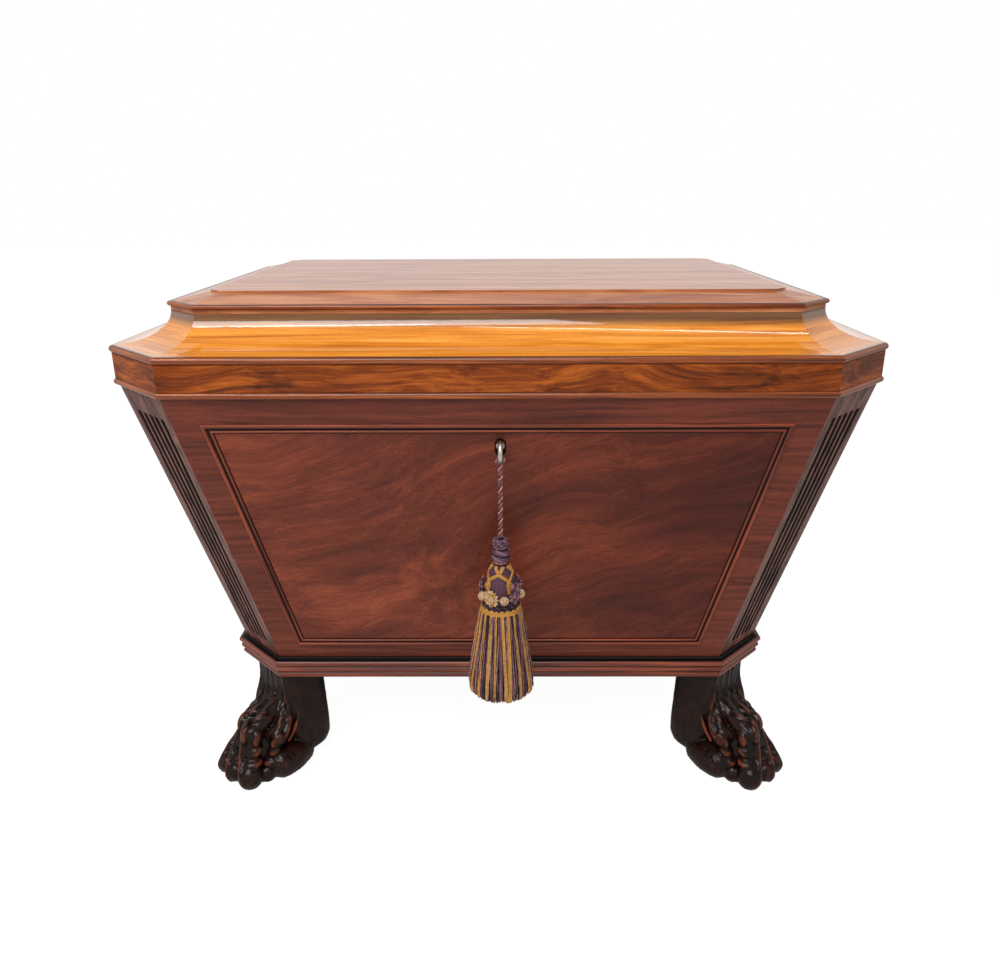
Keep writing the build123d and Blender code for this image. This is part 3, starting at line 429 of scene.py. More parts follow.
def toe_parts(knuckle, girth, tip, pad, tendon):
    """One toe: tendon, split knuckle, middle joint, rounded tip and the ridge that runs down it."""
    knuckle, tip = Vector(knuckle), Vector(tip)
    way = (tip - knuckle) * Vector((1, 1, 0))
    way.normalize()
    aside = Vector((-way.y, way.x, 0))
    spin = Matrix.Rotation(math.atan2(way.y, way.x), 3, "Z")
    lean = spin @ Matrix.Rotation(math.radians(40), 3, "Y")
    upright = Vector((0, 0, 1))
    root = Vector((-30, knuckle.y * 0.6, 90))
    line = [Vector(p) for p in tendon] + [knuckle + upright * girth * 0.55 - way * girth * 0.35]
    line = even_path(curved(line), 3.0)
    middle = knuckle.lerp(tip, 0.47) - way * 3.5
    low = knuckle.lerp(tip, 0.66) - way * 0.5
    ridge = [knuckle - aside * girth * 0.75 - upright * 6 + way * girth * 0.35,
             middle - aside * girth * 0.72 + way * 8, low - aside * girth * 0.66 + way * 9,
             tip - aside * pad * 0.30 + way * pad * 0.83 + upright,
             tip - aside * pad * 0.15 + way * pad * 0.60 - upright * 9]
    return [
        tube([root, root.lerp(knuckle, 0.6), knuckle], [11.0, girth * 0.8, girth * 0.74], sides=18),
        tube([knuckle, middle, tip], [girth * 0.64, girth * 0.6, pad * 0.62], sides=18),
        tube(line, [5.4 - 1.3 * math.sin(math.pi * min(1.0, 1.25 * k / len(line)))
                    for k in range(len(line))], sides=14),
        ellipsoid(knuckle - aside * girth * 0.38 + upright * 1.5,
                  (girth * 1.12, girth * 0.56, girth * 0.86), lean),
        ellipsoid(knuckle + aside * girth * 0.58 - upright * 2.5,
                  (girth * 1.02, girth * 0.40, girth * 0.66), lean),
        ellipsoid(middle + upright * 4.5 + way * 1.5, (girth * 0.86, girth * 0.92, 6.5), lean),
        ellipsoid(low + way, (pad * 0.78, pad * 0.9, 6.0),
                  spin @ Matrix.Rotation(math.radians(14), 3, "Y")),
        ellipsoid(tip, (pad, pad * 0.97, pad * 1.06), spin),
        tube(even_path(curved(ridge), 3.0), 3.4, sides=12),
    ]


def curved(points, steps=6):
    """A smooth line through the points."""
    made = []
    for i in range(len(points) - 1):
        before, after = points[max(i - 1, 0)], points[min(i + 2, len(points) - 1)]
        one, two = points[i], points[i + 1]
        for k in range(steps):
            t = k / steps
            made.append(((2 * one) + (two - before) * t + (2 * before - 5 * one + 4 * two - after) * t ** 2
                         + (3 * one - before - 3 * two + after) * t ** 3) * 0.5)
    made.append(points[-1])
    return made


def paw_form():
    """All the lumps of one foot, overlapping, in millimetres."""
    parts = [leg_block(), tube([(2, 4, 2), (2, 4, 36), (0, 3, 60), (-4, 2, 74)], [31, 34, 26, 14],
                               sides=32)]
    for toe in TOES:
        parts += toe_parts(*toe)
    outer = [(-18, 26, 142), (-18, 27, 112), (-17, 31, 94), (-14, 36, 78), (-9, 41, 67), (0, 45, 58)]
    parts.append(tube(even_path(curved([Vector(p) for p in outer]), 3.0), 3.8, sides=14))
    for hand in (-1, 1):
        side_pad = [Vector((1, hand * 38, 19.5)), Vector((-12, hand * 36, 20)),
                    Vector((-26, hand * 31, 19))]
        parts.append(tube(side_pad, [20, 20.5, 19], sides=24))
        side = 39 if hand > 0 else 34
        crease = [Vector((-31, hand * side, 142)), Vector((-30, hand * side, 104)),
                  Vector((-25, hand * (side + 1), 76)), Vector((-17, hand * (side + 2), 58)),
                  Vector((-9, hand * (side + 1), 46))]
        parts.append(tube(even_path(curved(crease), 3.0), 2.2, sides=12))
    return joined(parts)


def carved_paw():
    """The lumps fused, smoothed and tooled. Returns points in metres, faces, painted shade in the hollows
    and worn places.
    """
    points, faces = paw_form()
    mesh = bpy.data.meshes.new("paw_rough")
    mesh.from_pydata([tuple(p * MM) for p in points], [], faces)
    rough = bpy.data.objects.new("paw_rough", mesh)
    bpy.context.scene.collection.objects.link(rough)
    fuse = rough.modifiers.new("fuse", "REMESH")
    fuse.mode = "VOXEL"
    fuse.voxel_size = 1.2 * MM
    made = evaluated(rough)
    bpy.data.objects.remove(rough)
    count = len(made.vertices)
    co = np.empty(count * 3)
    made.vertices.foreach_get("co", co)
    co = co.reshape(-1, 3)
    edges = np.empty(len(made.edges) * 2, int)
    made.edges.foreach_get("vertices", edges)
    edges = edges.reshape(-1, 2)
    faces = [tuple(p.vertices) for p in made.polygons]
    co = relaxed(co, edges, 3)
    co = tooled(co, made)
    co[:, 2] = np.clip(co[:, 2], 0.0, 137 * MM)
    soft = relaxed(co, edges, 40)
    normals = normals_of(co, faces)
    # Painted shade: places sunk below a much smoothed copy of the skin darken as hollows
    depth = ((soft - co) * normals).sum(1) / MM
    hollow = np.clip(depth / 1.0 - 0.05, 0, 1)
    worn = np.clip(-depth / 1.8 - 0.2, 0, 1)
    bpy.data.meshes.remove(made)
    return co, faces, hollow, worn


def normals_of(co, faces):
    """Smooth normals of a mesh's points."""
    mesh = bpy.data.meshes.new("normals")
    mesh.from_pydata([tuple(p) for p in co], [], faces)
    mesh.update()
    values = np.empty(len(co) * 3)
    mesh.vertices.foreach_get("normal", values)
    bpy.data.meshes.remove(mesh)
    return values.reshape(-1, 3)


def tooled(co, made):
    """Tool marks: furrows down the tendons, punched texture on the side pads and hand-cut unevenness."""
    normals = np.empty(len(co) * 3)
    made.vertices.foreach_get("normal", normals)
    normals = normals.reshape(-1, 3)
    x, y, z = (co / MM).T
    front = np.clip((x + 24) / 8, 0, 1) * np.clip((z - 66) / 16, 0, 1)
    furrow = np.cos((y + 1.5 * np.sin(z / 17.0)) * 2 * math.pi / 4.9)
    side_pad = (np.clip((np.abs(y) - 30) / 8, 0, 1) * np.clip((42 - z) / 8, 0, 1)
                * np.clip((24 - x) / 8, 0, 1))
    uneven = np.array([noise.noise(Vector(p) * 90) for p in co])
    pitted = np.array([noise.noise(Vector(p) * 430) for p in co])
    push = front * 0.28 * furrow + 0.35 * uneven + (0.1 + 0.45 * side_pad) * pitted
    return co + normals * (push * MM)[:, None]


# Threads, cords and windings

def even_path(points, step):
    """A line through the points, cut into equal steps of about the given length."""
    points = [Vector(p) for p in points]
    spans = [0.0]
    for a, b in zip(points, points[1:]):
        spans.append(spans[-1] + (b - a).length)
    count = max(2, round(spans[-1] / step) + 1)
    made, k = [], 0
    for i in range(count):
        want = spans[-1] * i / (count - 1)
        while k < len(points) - 2 and spans[k + 1] < want:
            k += 1
        share = (want - spans[k]) / max(spans[k + 1] - spans[k], 1e-9)
        made.append(points[k].lerp(points[k + 1], share))
    return made


def twisted(points, plies, ply_radius, spread, pitch, sides=8, phase=0.0):
    """Plies laid round a line like a cord. Returns one tube for each ply."""
    path = even_path(points, pitch / 14)
    count = len(path)
    ways = [(path[min(i + 1, count - 1)] - path[max(i - 1, 0)]).normalized() for i in range(count)]
    side = ways[0].orthogonal().normalized()
    lines = [[] for _ in range(plies)]
    run = 0.0
    for i, (point, way) in enumerate(zip(path, ways)):
        side = (side - way * side.dot(way)).normalized()
        other = way.cross(side)
        run += (point - path[i - 1]).length if i else 0.0
        for p in range(plies):
            turn = 2 * math.pi * (run / pitch + p / plies) + phase
            lines[p].append(point + (side * math.cos(turn) + other * math.sin(turn)) * spread)
    return [tube(line, ply_radius, sides=sides) for line in lines]


def threads(name, strands, finishes, body, replaces=()):
    """One piece from many thread tubes, each given as (number of its finish, tube)."""
    points, faces = joined([strand for _, strand in strands])
    indices = [finish for finish, (_, strand_faces) in strands for _ in strand_faces]
    return add_piece(name, points, faces, finishes, body, replaces, indices=indices)


# The tassel's yarns, in the order of its materials, and how those between the gold are shared out
PLUM, GOLD, MAUVE, CREAM, PINK, LILAC, RUST = range(7)
SKIRT_MIX = ((0.62, PLUM), (0.78, MAUVE), (0.88, PINK), (0.96, LILAC), (1.0, CREAM))


def silk(name, colour, shade, fine=0.5):
    """Twisted silk yarn: fine filaments painted lighter along their length, with painted shade darker
    between them.
    """
    material, tree, output = new_material(name)
    place = node(tree, "TexCoord").outputs["Object"]
    # Filaments are drawn about 0.5 mm apart, coarser than they are, so that they show
    scaled = node(tree, "VectorMath", {0: place, 1: (1 / (fine * MM), 1 / (fine * MM), 1 / (6 * MM))},
                  operation="MULTIPLY")
    fibre = node(tree, "TexNoise", {"Vector": scaled, "Scale": 1.0, "Detail": 2.0})
    ramp = [(0.40, linear(shade)), (0.64, linear(colour))]
    tone = node(tree, "ValToRGB", {"Fac": fibre.outputs["Fac"]}, ramp=ramp)
    relief = node(tree, "Bump", {"Height": fibre.outputs["Fac"], "Strength": 0.8, "Distance": 0.3 * MM})
    shader = node(tree, "BsdfPrincipled", {
        "Base Color": tone, "Roughness": 0.45, "IOR": 1.5, "Specular IOR Level": 0.25,
        "Sheen Weight": 0.08, "Sheen Roughness": 0.4, "Normal": relief})
    tree.links.new(shader.outputs[0], output.inputs["Surface"])
    return material


# Metals, lead and plain timber

def metal(name, colour, tarnish, roughness, grit=0.9, amount=0.5):
    """Old metal, handled and lightly tarnished: duller, browner patches and a scatter of fine pits."""
    material, tree, output = new_material(name)
    place = node(tree, "TexCoord").outputs["Object"]
    patch = node(tree, "TexNoise", {"Vector": place, "Scale": 1 / (6 * MM), "Detail": 4.0})
    share = node(tree, "MapRange", {"Value": patch.outputs["Fac"], "From Min": 0.42, "From Max": 0.68,
                                    "To Max": amount})
    tone = node(tree, "Mix", {0: share, 6: linear(colour), 7: linear(tarnish)}, data_type="RGBA").outputs[2]
    rough = node(tree, "MapRange", {"Value": patch.outputs["Fac"], "From Min": 0.3, "From Max": 0.7,
                                    "To Min": roughness, "To Max": roughness + 0.2})
    pits = node(tree, "TexNoise", {"Vector": place, "Scale": 1 / (grit * MM), "Detail": 2.0})
    relief = node(tree, "Bump", {"Height": pits.outputs["Fac"], "Strength": 0.4, "Distance": 0.1 * MM})
    shader = node(tree, "BsdfPrincipled", {
        "Base Color": tone, "Metallic": 1.0, "Roughness": rough, "Normal": relief})
    tree.links.new(shader.outputs[0], output.inputs["Surface"])
    return material


def sheet_lead(name):
    """Sheet lead gone dull: a grey bloom with paler streaks, soft dents and almost no shine."""
    material, tree, output = new_material(name)
    place = node(tree, "TexCoord").outputs["Object"]
    bloom = node(tree, "TexNoise", {"Vector": place, "Scale": 1 / (60 * MM), "Detail": 6.0,
                                    "Distortion": 0.6})
    ramp = [(0.35, linear("#4E5154")), (0.5, linear("#6C6E70")), (0.68, linear("#8E9090"))]
    tone = node(tree, "ValToRGB", {"Fac": bloom.outputs["Fac"]}, ramp=ramp)
    dents = node(tree, "TexNoise", {"Vector": place, "Scale": 1 / (22 * MM), "Detail": 2.0})
    relief = node(tree, "Bump", {"Height": dents.outputs["Fac"], "Strength": 0.7, "Distance": 1.2 * MM})
    shader = node(tree, "BsdfPrincipled", {
        "Base Color": tone, "Metallic": 0.6, "Roughness": 0.62, "Normal": relief})
    tree.links.new(shader.outputs[0], output.inputs["Surface"])
    return material


def planed_timber(name, along):
    """Unpolished mahogany inside the case: drab, open in the grain and matt."""
    return mahogany(name, along, "#4A3123", "#6F4E38", "#8D694E", figure=0.012, pore=0.5, roughness=0.75,
                    coat=0.0, coat_roughness=0.5, bump=0.0004)


def field_share(tree, settings):
    """1 inside the sunk field of the front or back face, 0 on the border round it."""
    parts = node(tree, "SeparateXYZ", {"Vector": node(tree, "TexCoord").outputs["Object"]})
    aside = node(tree, "Math", {0: parts.outputs["X"]}, operation="ABSOLUTE")
    low, high = field_levels(settings)
    edge = node(tree, "MapRange", {"Value": parts.outputs["Z"], "From Min": low[1], "From Max": high[1],
                                   "To Min": low[0], "To Max": high[0]})
    inside, above, below = [node(tree, "Math", {0: one, 1: two}, operation=test) for one, two, test in (
        (aside, edge, "LESS_THAN"),
        (parts.outputs["Z"], low[1], "GREATER_THAN"),
        (parts.outputs["Z"], high[1], "LESS_THAN"))]
    both = node(tree, "Math", {0: above, 1: below}, operation="MULTIPLY")
    return node(tree, "Math", {0: both, 1: inside}, operation="MULTIPLY").outputs[0]


def field_levels(settings):
    """(half width, height) of the foot and the head of the front's field."""
    low_z = base_high.z + settings.field_foot_margin
    high_z = body_high.z - settings.field_head_margin
    made = []
    for z in (low_z, high_z):
        share = (z - base_high.z) / (body_high.z - base_high.z)
        half = settings.face_foot_half + share * (body_high.x - settings.face_foot_half)
        made.append((half - settings.field_side_margin, z))
    return made


def flame_mahogany(name, settings, axis):
    """Crotch-figured mahogany veneer: broad swirls and feathered arcs in red-brown, under french polish."""
    material, tree, output = new_material(name)
    place = grain_space(tree, axis)
    lean = math.radians(20)
    turned_place = node(tree, "Mapping", {"Vector": place, "Rotation": (0, lean, 0)}).outputs[0]
    swirl = warped(tree, turned_place, 5.0, 0.12)
    ribs = streaks(tree, swirl, 0.2, 0.011, detail=5.0, distortion=0.5)
    broad = streaks(tree, swirl, 0.26, 0.075, detail=2.0, distortion=0.8)
    fine = streaks(tree, swirl, 0.08, 0.0022, detail=3.0, distortion=0.3)
    tone = 0.0
    for grain, share in ((broad, 0.45), (ribs, 0.32), (fine, 0.23)):
        tone = node(tree, "Math", {0: grain, 1: share, 2: tone}, operation="MULTIPLY_ADD")
    # The field's colours are partly painted shade of the down-leaning faces
    ramp = [(0.33, linear(settings.body_dark)), (0.5, linear(settings.body_middle)),
            (0.69, linear(settings.body_light))]
    field = node(tree, "ValToRGB", {"Fac": tone}, ramp=ramp).outputs[0]
    # The colour darkens towards positive X of the grain coordinates, the right-hand side of the front
    grain_x = node(tree, "SeparateXYZ", {"Vector": place}).outputs["X"]
    shade = node(tree, "MapRange", {"Value": grain_x, "From Min": -0.12, "From Max": 0.2, "To Max": 0.85})
    darker = node(tree, "Mix", {0: 1.0, 6: field, 7: linear("#B8A8A8")}, data_type="RGBA",
                  blend_type="MULTIPLY").outputs[2]
    field = node(tree, "Mix", {0: shade, 6: field, 7: darker}, data_type="RGBA").outputs[2]
    border_place = warped(tree, place, 5.0, 0.02)
    border_fine = streaks(tree, border_place, 0.14, 0.006, detail=4.0, distortion=0.5)
    ramp = [(0.28, linear(settings.border_dark)), (0.72, linear(settings.border_light))]
    border = node(tree, "ValToRGB", {"Fac": border_fine}, ramp=ramp).outputs[0]
    if axis == "X":
        colour = node(tree, "Mix", {0: field_share(tree, settings), 6: border, 7: field},
                      data_type="RGBA").outputs[2]
    else:
        colour = field
    pores = streaks(tree, turned_place, 9 * MM, 0.8 * MM, detail=1.0, distortion=0.0)
    dots = node(tree, "MapRange", {"Value": pores, "From Min": 0.60, "From Max": 0.72, "To Max": 0.4})
    colour = node(tree, "Mix", {0: dots, 6: colour, 7: linear(settings.body_dark)}, data_type="RGBA",
                  blend_type="MULTIPLY").outputs[2]
    slow = streaks(tree, place, 0.2, 0.05, detail=2.0, distortion=0.0)
    height = node(tree, "Math", {0: dots, 1: -0.35, 2: slow}, operation="MULTIPLY_ADD")
    polished(tree, output, colour, height, 0.42, 0.12, 0.2, 0.0003, gloss=0.1)
    return material


def fluted_mahogany(name, settings):
    """Straight-grained mahogany with painted shade, near black, in its flutes."""
    material, tree, output = new_material(name)
    place = grain_space(tree, "Z")
    broad = streaks(tree, place, 0.2, 0.012, detail=3.0)
    ramp = [(0.36, linear(settings.post_dark)), (0.64, linear(settings.post_light))]
    colour = node(tree, "ValToRGB", {"Fac": broad}, ramp=ramp).outputs[0]
    parts = node(tree, "SeparateXYZ", {"Vector": node(tree, "TexCoord").outputs["Object"]})
    sizes = [node(tree, "Math", {0: parts.outputs[axis]}, operation="ABSOLUTE") for axis in ("X", "Y")]
    reach = node(tree, "Math", {0: sizes[0], 1: sizes[1]}, operation="ADD")
    low = settings.post_foot_reach
    high = body_high.x + abs(body_low.y)
    face = node(tree, "MapRange", {"Value": parts.outputs["Z"], "From Min": base_high.z,
                                   "From Max": body_high.z, "To Min": low, "To Max": high})
    depth = node(tree, "Math", {0: face, 1: reach}, operation="SUBTRACT")
    # Painted shade: the deeper below the post's face, the nearer black
    painted_shade = node(tree, "MapRange", {"Value": depth, "From Min": 0.0003, "From Max": 0.0015})
    colour = node(tree, "Mix", {0: painted_shade, 6: colour, 7: linear("#0A0505")}, data_type="RGBA").outputs[2]
    polished(tree, output, colour, broad, 0.45, 0.15, 0.25, 0.0002, gloss=0.05)
    return material


def carved_mahogany(name, settings):
    """Carved mahogany with painted shade almost black in the hollows, rubbed through to copper red on the
    high places.
    """
    material, tree, output = new_material(name)
    place = node(tree, "TexCoord").outputs["Object"]
    mottle = node(tree, "TexNoise", {"Vector": place, "Scale": 1 / (14 * MM), "Detail": 5.0,
                                     "Distortion": 0.6}).outputs["Fac"]
    ramp = [(0.35, linear(settings.foot_dark)), (0.65, linear(settings.foot_middle))]
    colour = node(tree, "ValToRGB", {"Fac": mottle}, ramp=ramp).outputs[0]
    worn = node(tree, "Attribute", attribute_name="worn").outputs["Fac"]
    rubbed = node(tree, "Math", {0: worn, 1: mottle}, operation="MULTIPLY")
    rubbed = node(tree, "MapRange", {"Value": rubbed, "From Min": 0.08, "From Max": 0.5})
    colour = node(tree, "Mix", {0: rubbed, 6: colour, 7: linear(settings.foot_worn)},
                  data_type="RGBA").outputs[2]
    # Painted shade in the hollows, towards near black
    hollow = node(tree, "Attribute", attribute_name="hollow").outputs["Fac"]
    colour = node(tree, "Mix", {0: hollow, 6: colour, 7: linear("#060303")}, data_type="RGBA").outputs[2]
    grit = node(tree, "TexNoise", {"Vector": place, "Scale": 1 / (2.2 * MM), "Detail": 3.0}).outputs["Fac"]
    height = node(tree, "Math", {0: grit, 1: 0.4, 2: mottle}, operation="MULTIPLY_ADD")
    polished(tree, output, colour, height, 0.42, 0.25, 0.14, 0.0005, gloss=0.04)
    return material


def dress(names, finish):
    """Gives frame nodes a finish."""
    for name in names:
        piece = nodes[name]
        if not piece.data.materials:
            piece.data.materials.append(None)
        for slot in piece.material_slots:
            slot.link = "OBJECT"
            slot.material = finish


# Settings that the sidebar shows

class CellaretteCaseSettings(bpy.types.PropertyGroup):
    """Finishes and margins of the tapering case."""
    # The front's field and border colours are partly painted shade: darker because the case's faces lean
    # down away from the light above
    body_dark: StringProperty(name="Field, dark", description="Darkest figure of the front's veneer",
                              default="#45201A")
    body_middle: StringProperty(name="Field, middle", description="Middle tone of the veneer",
                                default="#6B3224")
    body_light: StringProperty(name="Field, light", description="Brightest feathers of the veneer",
                               default="#9A4C32")
    border_dark: StringProperty(name="Border, dark", description="Dark streaks of the border",
                                default="#45201A")
    border_light: StringProperty(name="Border, light", description="Light streaks of the border",
                                 default="#7A3B2B")
    post_dark: StringProperty(name="Post, dark", description="Dark grain of the corner posts",
                              default="#42241F")
    post_light: StringProperty(name="Post, light", description="Light grain of the corner posts",
                               default="#80554B")
    field_head_margin: FloatProperty(name="Field head margin",
                                     description="From the case's top to the field", default=0.0267,
                                     unit="LENGTH")
    field_foot_margin: FloatProperty(name="Field foot margin", description="From the base to the field",
                                     default=0.0183, unit="LENGTH")
    field_side_margin: FloatProperty(name="Field side margin", description="From the posts to the field",
                                     default=0.0285, unit="LENGTH")
    face_foot_half: FloatProperty(name="Half width at the foot",
                                  description="Half the front's width at the base", default=0.2603,
                                  unit="LENGTH")
    post_foot_reach: FloatProperty(name="Post reach at the foot", default=0.4686, unit="LENGTH",
                                   description="Sum of X and Y on a canted face where it meets the base")


class CellaretteLidSettings(bpy.types.PropertyGroup):
    """Finishes of the lid and the insets of its mouldings."""
    frieze_dark: StringProperty(name="Frieze, dark", description="Dark streaks of the frieze",
                                default="#431E0A")
    frieze_middle: StringProperty(name="Frieze, middle", description="Middle tone of the frieze",
                                  default="#7C3810")
    frieze_light: StringProperty(name="Frieze, light", description="Bright streaks of the frieze",
                                 default="#B05C1C")
    # The cove's bright oranges are partly painted light: brighter because its upward curve catches the
    # light from above
    cove_dark: StringProperty(name="Cove, dark", description="Dark streaks of the cove", default="#B0600F")
    cove_middle: StringProperty(name="Cove, middle", description="Middle tone of the cove",
                                default="#DB8520")
    cove_light: StringProperty(name="Cove, light", description="Bright streaks of the cove",
                               default="#F2A748")
    top_dark: StringProperty(name="Top, dark", description="Dark grain of the top", default="#8C4A28")
    top_middle: StringProperty(name="Top, middle", description="Middle tone of the top", default="#B06A3E")
    top_light: StringProperty(name="Top, light", description="Light grain of the top", default="#CC8A5A")
    cove_foot_inset: FloatProperty(name="Cove foot inset", description="From the rim to the cove's foot",
                                   default=0.003, unit="LENGTH")
    cove_run: FloatProperty(name="Cove run", description="How far the cove reaches in", default=0.057,
                            unit="LENGTH")
    bead_bed: FloatProperty(name="Bead bed", description="How far a bead is let in", default=0.005,
                            unit="LENGTH")


class CellaretteFootSettings(bpy.types.PropertyGroup):
    """Finish and place of the carved paw feet."""
    foot_dark: StringProperty(name="Foot, dark", description="Old dark polish", default="#100805")
    foot_middle: StringProperty(name="Foot, middle", description="Polish where it is thinner",
                                default="#26110B")
    foot_worn: StringProperty(name="Foot, worn", description="Bare wood on worn places", default="#94482C")
    reach_x: FloatProperty(name="Foot place, X", description="From the centre to the foot", default=0.294,
                           unit="LENGTH")
    reach_y: FloatProperty(name="Foot place, Y", description="From the centre to the foot", default=0.186,
                           unit="LENGTH")


class CellaretteTasselSettings(bpy.types.PropertyGroup):
    """Colours and counts of the key's tassel."""
    mauve: StringProperty(name="Mauve", description="Main yarn of the knot, collar and head",
                          default="#6A4256")
    lilac: StringProperty(name="Lilac", description="Second yarn of the knot and collar", default="#8E6878")
    plum: StringProperty(name="Plum", description="Dark yarn of the skirt and the head's foot",
                         default="#261822")
    gold: StringProperty(name="Gold", description="Gold yarn of the skirt and lattice", default="#DCA24C")
    cream: StringProperty(name="Cream", description="Pale yarn of the rosettes", default="#E0C096")
    pink: StringProperty(name="Pink", description="Dusty pink yarn of the neck and rosettes",
                         default="#BE8480")
    rose: StringProperty(name="Rose", description="Darker yarn of the cord", default="#985C64")
    peach: StringProperty(name="Peach", description="Paler yarn of the cord", default="#D09A8C")
    rust: StringProperty(name="Rust", description="Faded ends of the skirt", default="#8A4436")
    cord_length: FloatProperty(name="Cord length", description="From the loop to the knot", default=0.078,
                               unit="LENGTH")
    cord_diameter: FloatProperty(name="Cord diameter", description="Over both plies", default=0.0055,
                                 unit="LENGTH")
    strand_count: IntProperty(name="Skirt threads", description="Threads in the skirt's outer layer",
                              default=168)


class CellaretteStageSettings(bpy.types.PropertyGroup):
    """Camera and light."""
    lens: FloatProperty(name="Lens", description="Focal length in millimetres", default=30.472,
                        unit="CAMERA")
    floor_colour: StringProperty(name="Floor", description="Colour of the floor", default="#EDEBE8")
    ambient: FloatProperty(name="Ambient", description="Light from all round", default=0.38)
    key_power: FloatProperty(name="Key lamp", description="Power of the large lamp", default=84.0,
                             unit="POWER")
    strip_power: FloatProperty(name="Strip lamps", description="Power of each strip lamp", default=6.0,
                               unit="POWER")


# Stage, camera and light

def aimed_lamp(name, place, target, size, power):
    """A rectangular lamp that faces its target."""
    lamp = bpy.data.lights.new(name, "AREA")
    lamp.shape = "RECTANGLE"
    lamp.size, lamp.size_y = size
    lamp.energy = power
    holder = bpy.data.objects.new(name, lamp)
    holder.location = place
    holder.rotation_euler = (Vector(target) - Vector(place)).to_track_quat("-Z", "Y").to_euler()
    bpy.context.scene.collection.objects.link(holder)


class CELLARETTE_OT_stage(bpy.types.Operator):
    """Sets up the floor, the white surroundings, the lamps and the camera"""
    bl_idname = "cellarette.stage"
    bl_label = "Stage and camera"

    def execute(self, context):
        settings = context.scene.cellarette_stage
        scene = context.scene
        scene.view_settings.view_transform = "Standard"

        lens = bpy.data.cameras.new("camera")
        lens.sensor_fit = "HORIZONTAL"
        lens.sensor_width = 36.0
        lens.lens = settings.lens
        camera = bpy.data.objects.new("camera", lens)
        # The place and angles were fitted to the straight edges of the case and lid
        camera_place = (0.00842, -1.08547, 0.69071)
        pitch, yaw, roll = (math.radians(a) for a in (19.39, -0.42, -0.26))
        ahead = Vector((math.sin(yaw) * math.cos(pitch), math.cos(yaw) * math.cos(pitch), -math.sin(pitch)))
        across = Vector((math.cos(yaw), -math.sin(yaw), 0))
        over = across.cross(ahead)
        right = across * math.cos(roll) + over * math.sin(roll)
        up = -across * math.sin(roll) + over * math.cos(roll)
        turn = Matrix((right, up, -ahead)).transposed()
        camera.matrix_world = Matrix.Translation(camera_place) @ turn.to_4x4()
        scene.collection.objects.link(camera)
        scene.camera = camera

        world = bpy.data.worlds.new("surroundings")
        scene.world = world
        world.use_nodes = True
        tree = world.node_tree
        tree.nodes.clear()
        light = node(tree, "LightPath")
        parts = node(tree, "SeparateXYZ", {"Vector": node(tree, "TexCoord").outputs["Generated"]})
        fade = node(tree, "MapRange", {"Value": parts.outputs["Z"], "From Max": 0.9, "To Min": 1.0,
                                       "To Max": 0.45})
        seen = node(tree, "Math", {0: light.outputs["Is Glossy Ray"],
                                   1: light.outputs["Is Transmission Ray"]}, operation="MAXIMUM")
        strength = node(tree, "Mix", {0: seen, 2: settings.ambient, 3: fade})
        strength = node(tree, "Math", {0: strength, 1: light.outputs["Is Camera Ray"]},
                        operation="MAXIMUM")
        sky = node(tree, "Background", {"Color": linear("#FFFFFF"), "Strength": strength})
        node(tree, "OutputWorld", {"Surface": sky})

        mesh = bpy.data.meshes.new("floor")
        half = 10.0
        mesh.from_pydata([(-half, -half, 0), (half, -half, 0), (half, half, 0), (-half, half, 0)], [],
                         [(0, 1, 2, 3)])
        floor = bpy.data.objects.new("floor", mesh)
        scene.collection.objects.link(floor)
        material, tree, output = new_material("pale_floor")
        light = node(tree, "LightPath")
        plain = node(tree, "BsdfDiffuse", {"Color": linear(settings.floor_colour)})
        white = node(tree, "Emission", {"Color": linear("#FFFFFF"), "Strength": 1.2})
        share = node(tree, "Math", {0: light.outputs["Is Camera Ray"], 1: 0.8}, operation="MULTIPLY")
        mixed = node(tree, "MixShader", {0: share, 1: plain, 2: white})
        tree.links.new(mixed.outputs[0], output.inputs["Surface"])
        mesh.materials.append(material)

        strip = settings.strip_power
        aimed_lamp("key_lamp", (-0.7, -2.3, 2.7), (0, 0, 0.4), (2.2, 1.4), settings.key_power)
        aimed_lamp("strip_left", (-0.7, -1.32, 2.25), (-0.2, -0.26, 0.55), (1.0, 0.05), strip)
        aimed_lamp("strip_right", (0.45, -0.61, 2.52), (0.1, -0.26, 0.55), (1.7, 0.05), strip)
        return {"FINISHED"}


# The pieces

class CELLARETTE_OT_carcass(bpy.types.Operator):
    """Finishes the boards, posts, lining and divisions of the case"""
    bl_idname = "cellarette.carcass"
    bl_label = "Case boards and lining"

    def execute(self, context):
        settings = context.scene.cellarette_case
        flame = flame_mahogany("flame_mahogany_front", settings, "X")
        ends = flame_mahogany("flame_mahogany_ends", settings, "Y")
        dress(["front_board", "back_board"], flame)
        dress(["right_board", "left_board"], ends)
        posts = fluted_mahogany("fluted_mahogany", settings)
        dress([f"corner_post_{quarter}" for quarter in QUARTERS], posts)
        dress(["bottom_board", "base_board"], planed_timber("planed_mahogany_boards", "X"))
        dress(["divisions_long"], planed_timber("planed_mahogany_long", "X"))
        dress(["divisions_cross"], planed_timber("planed_mahogany_cross", "Y"))
        dress(["lead_lining"], sheet_lead("sheet_lead"))
        return {"FINISHED"}


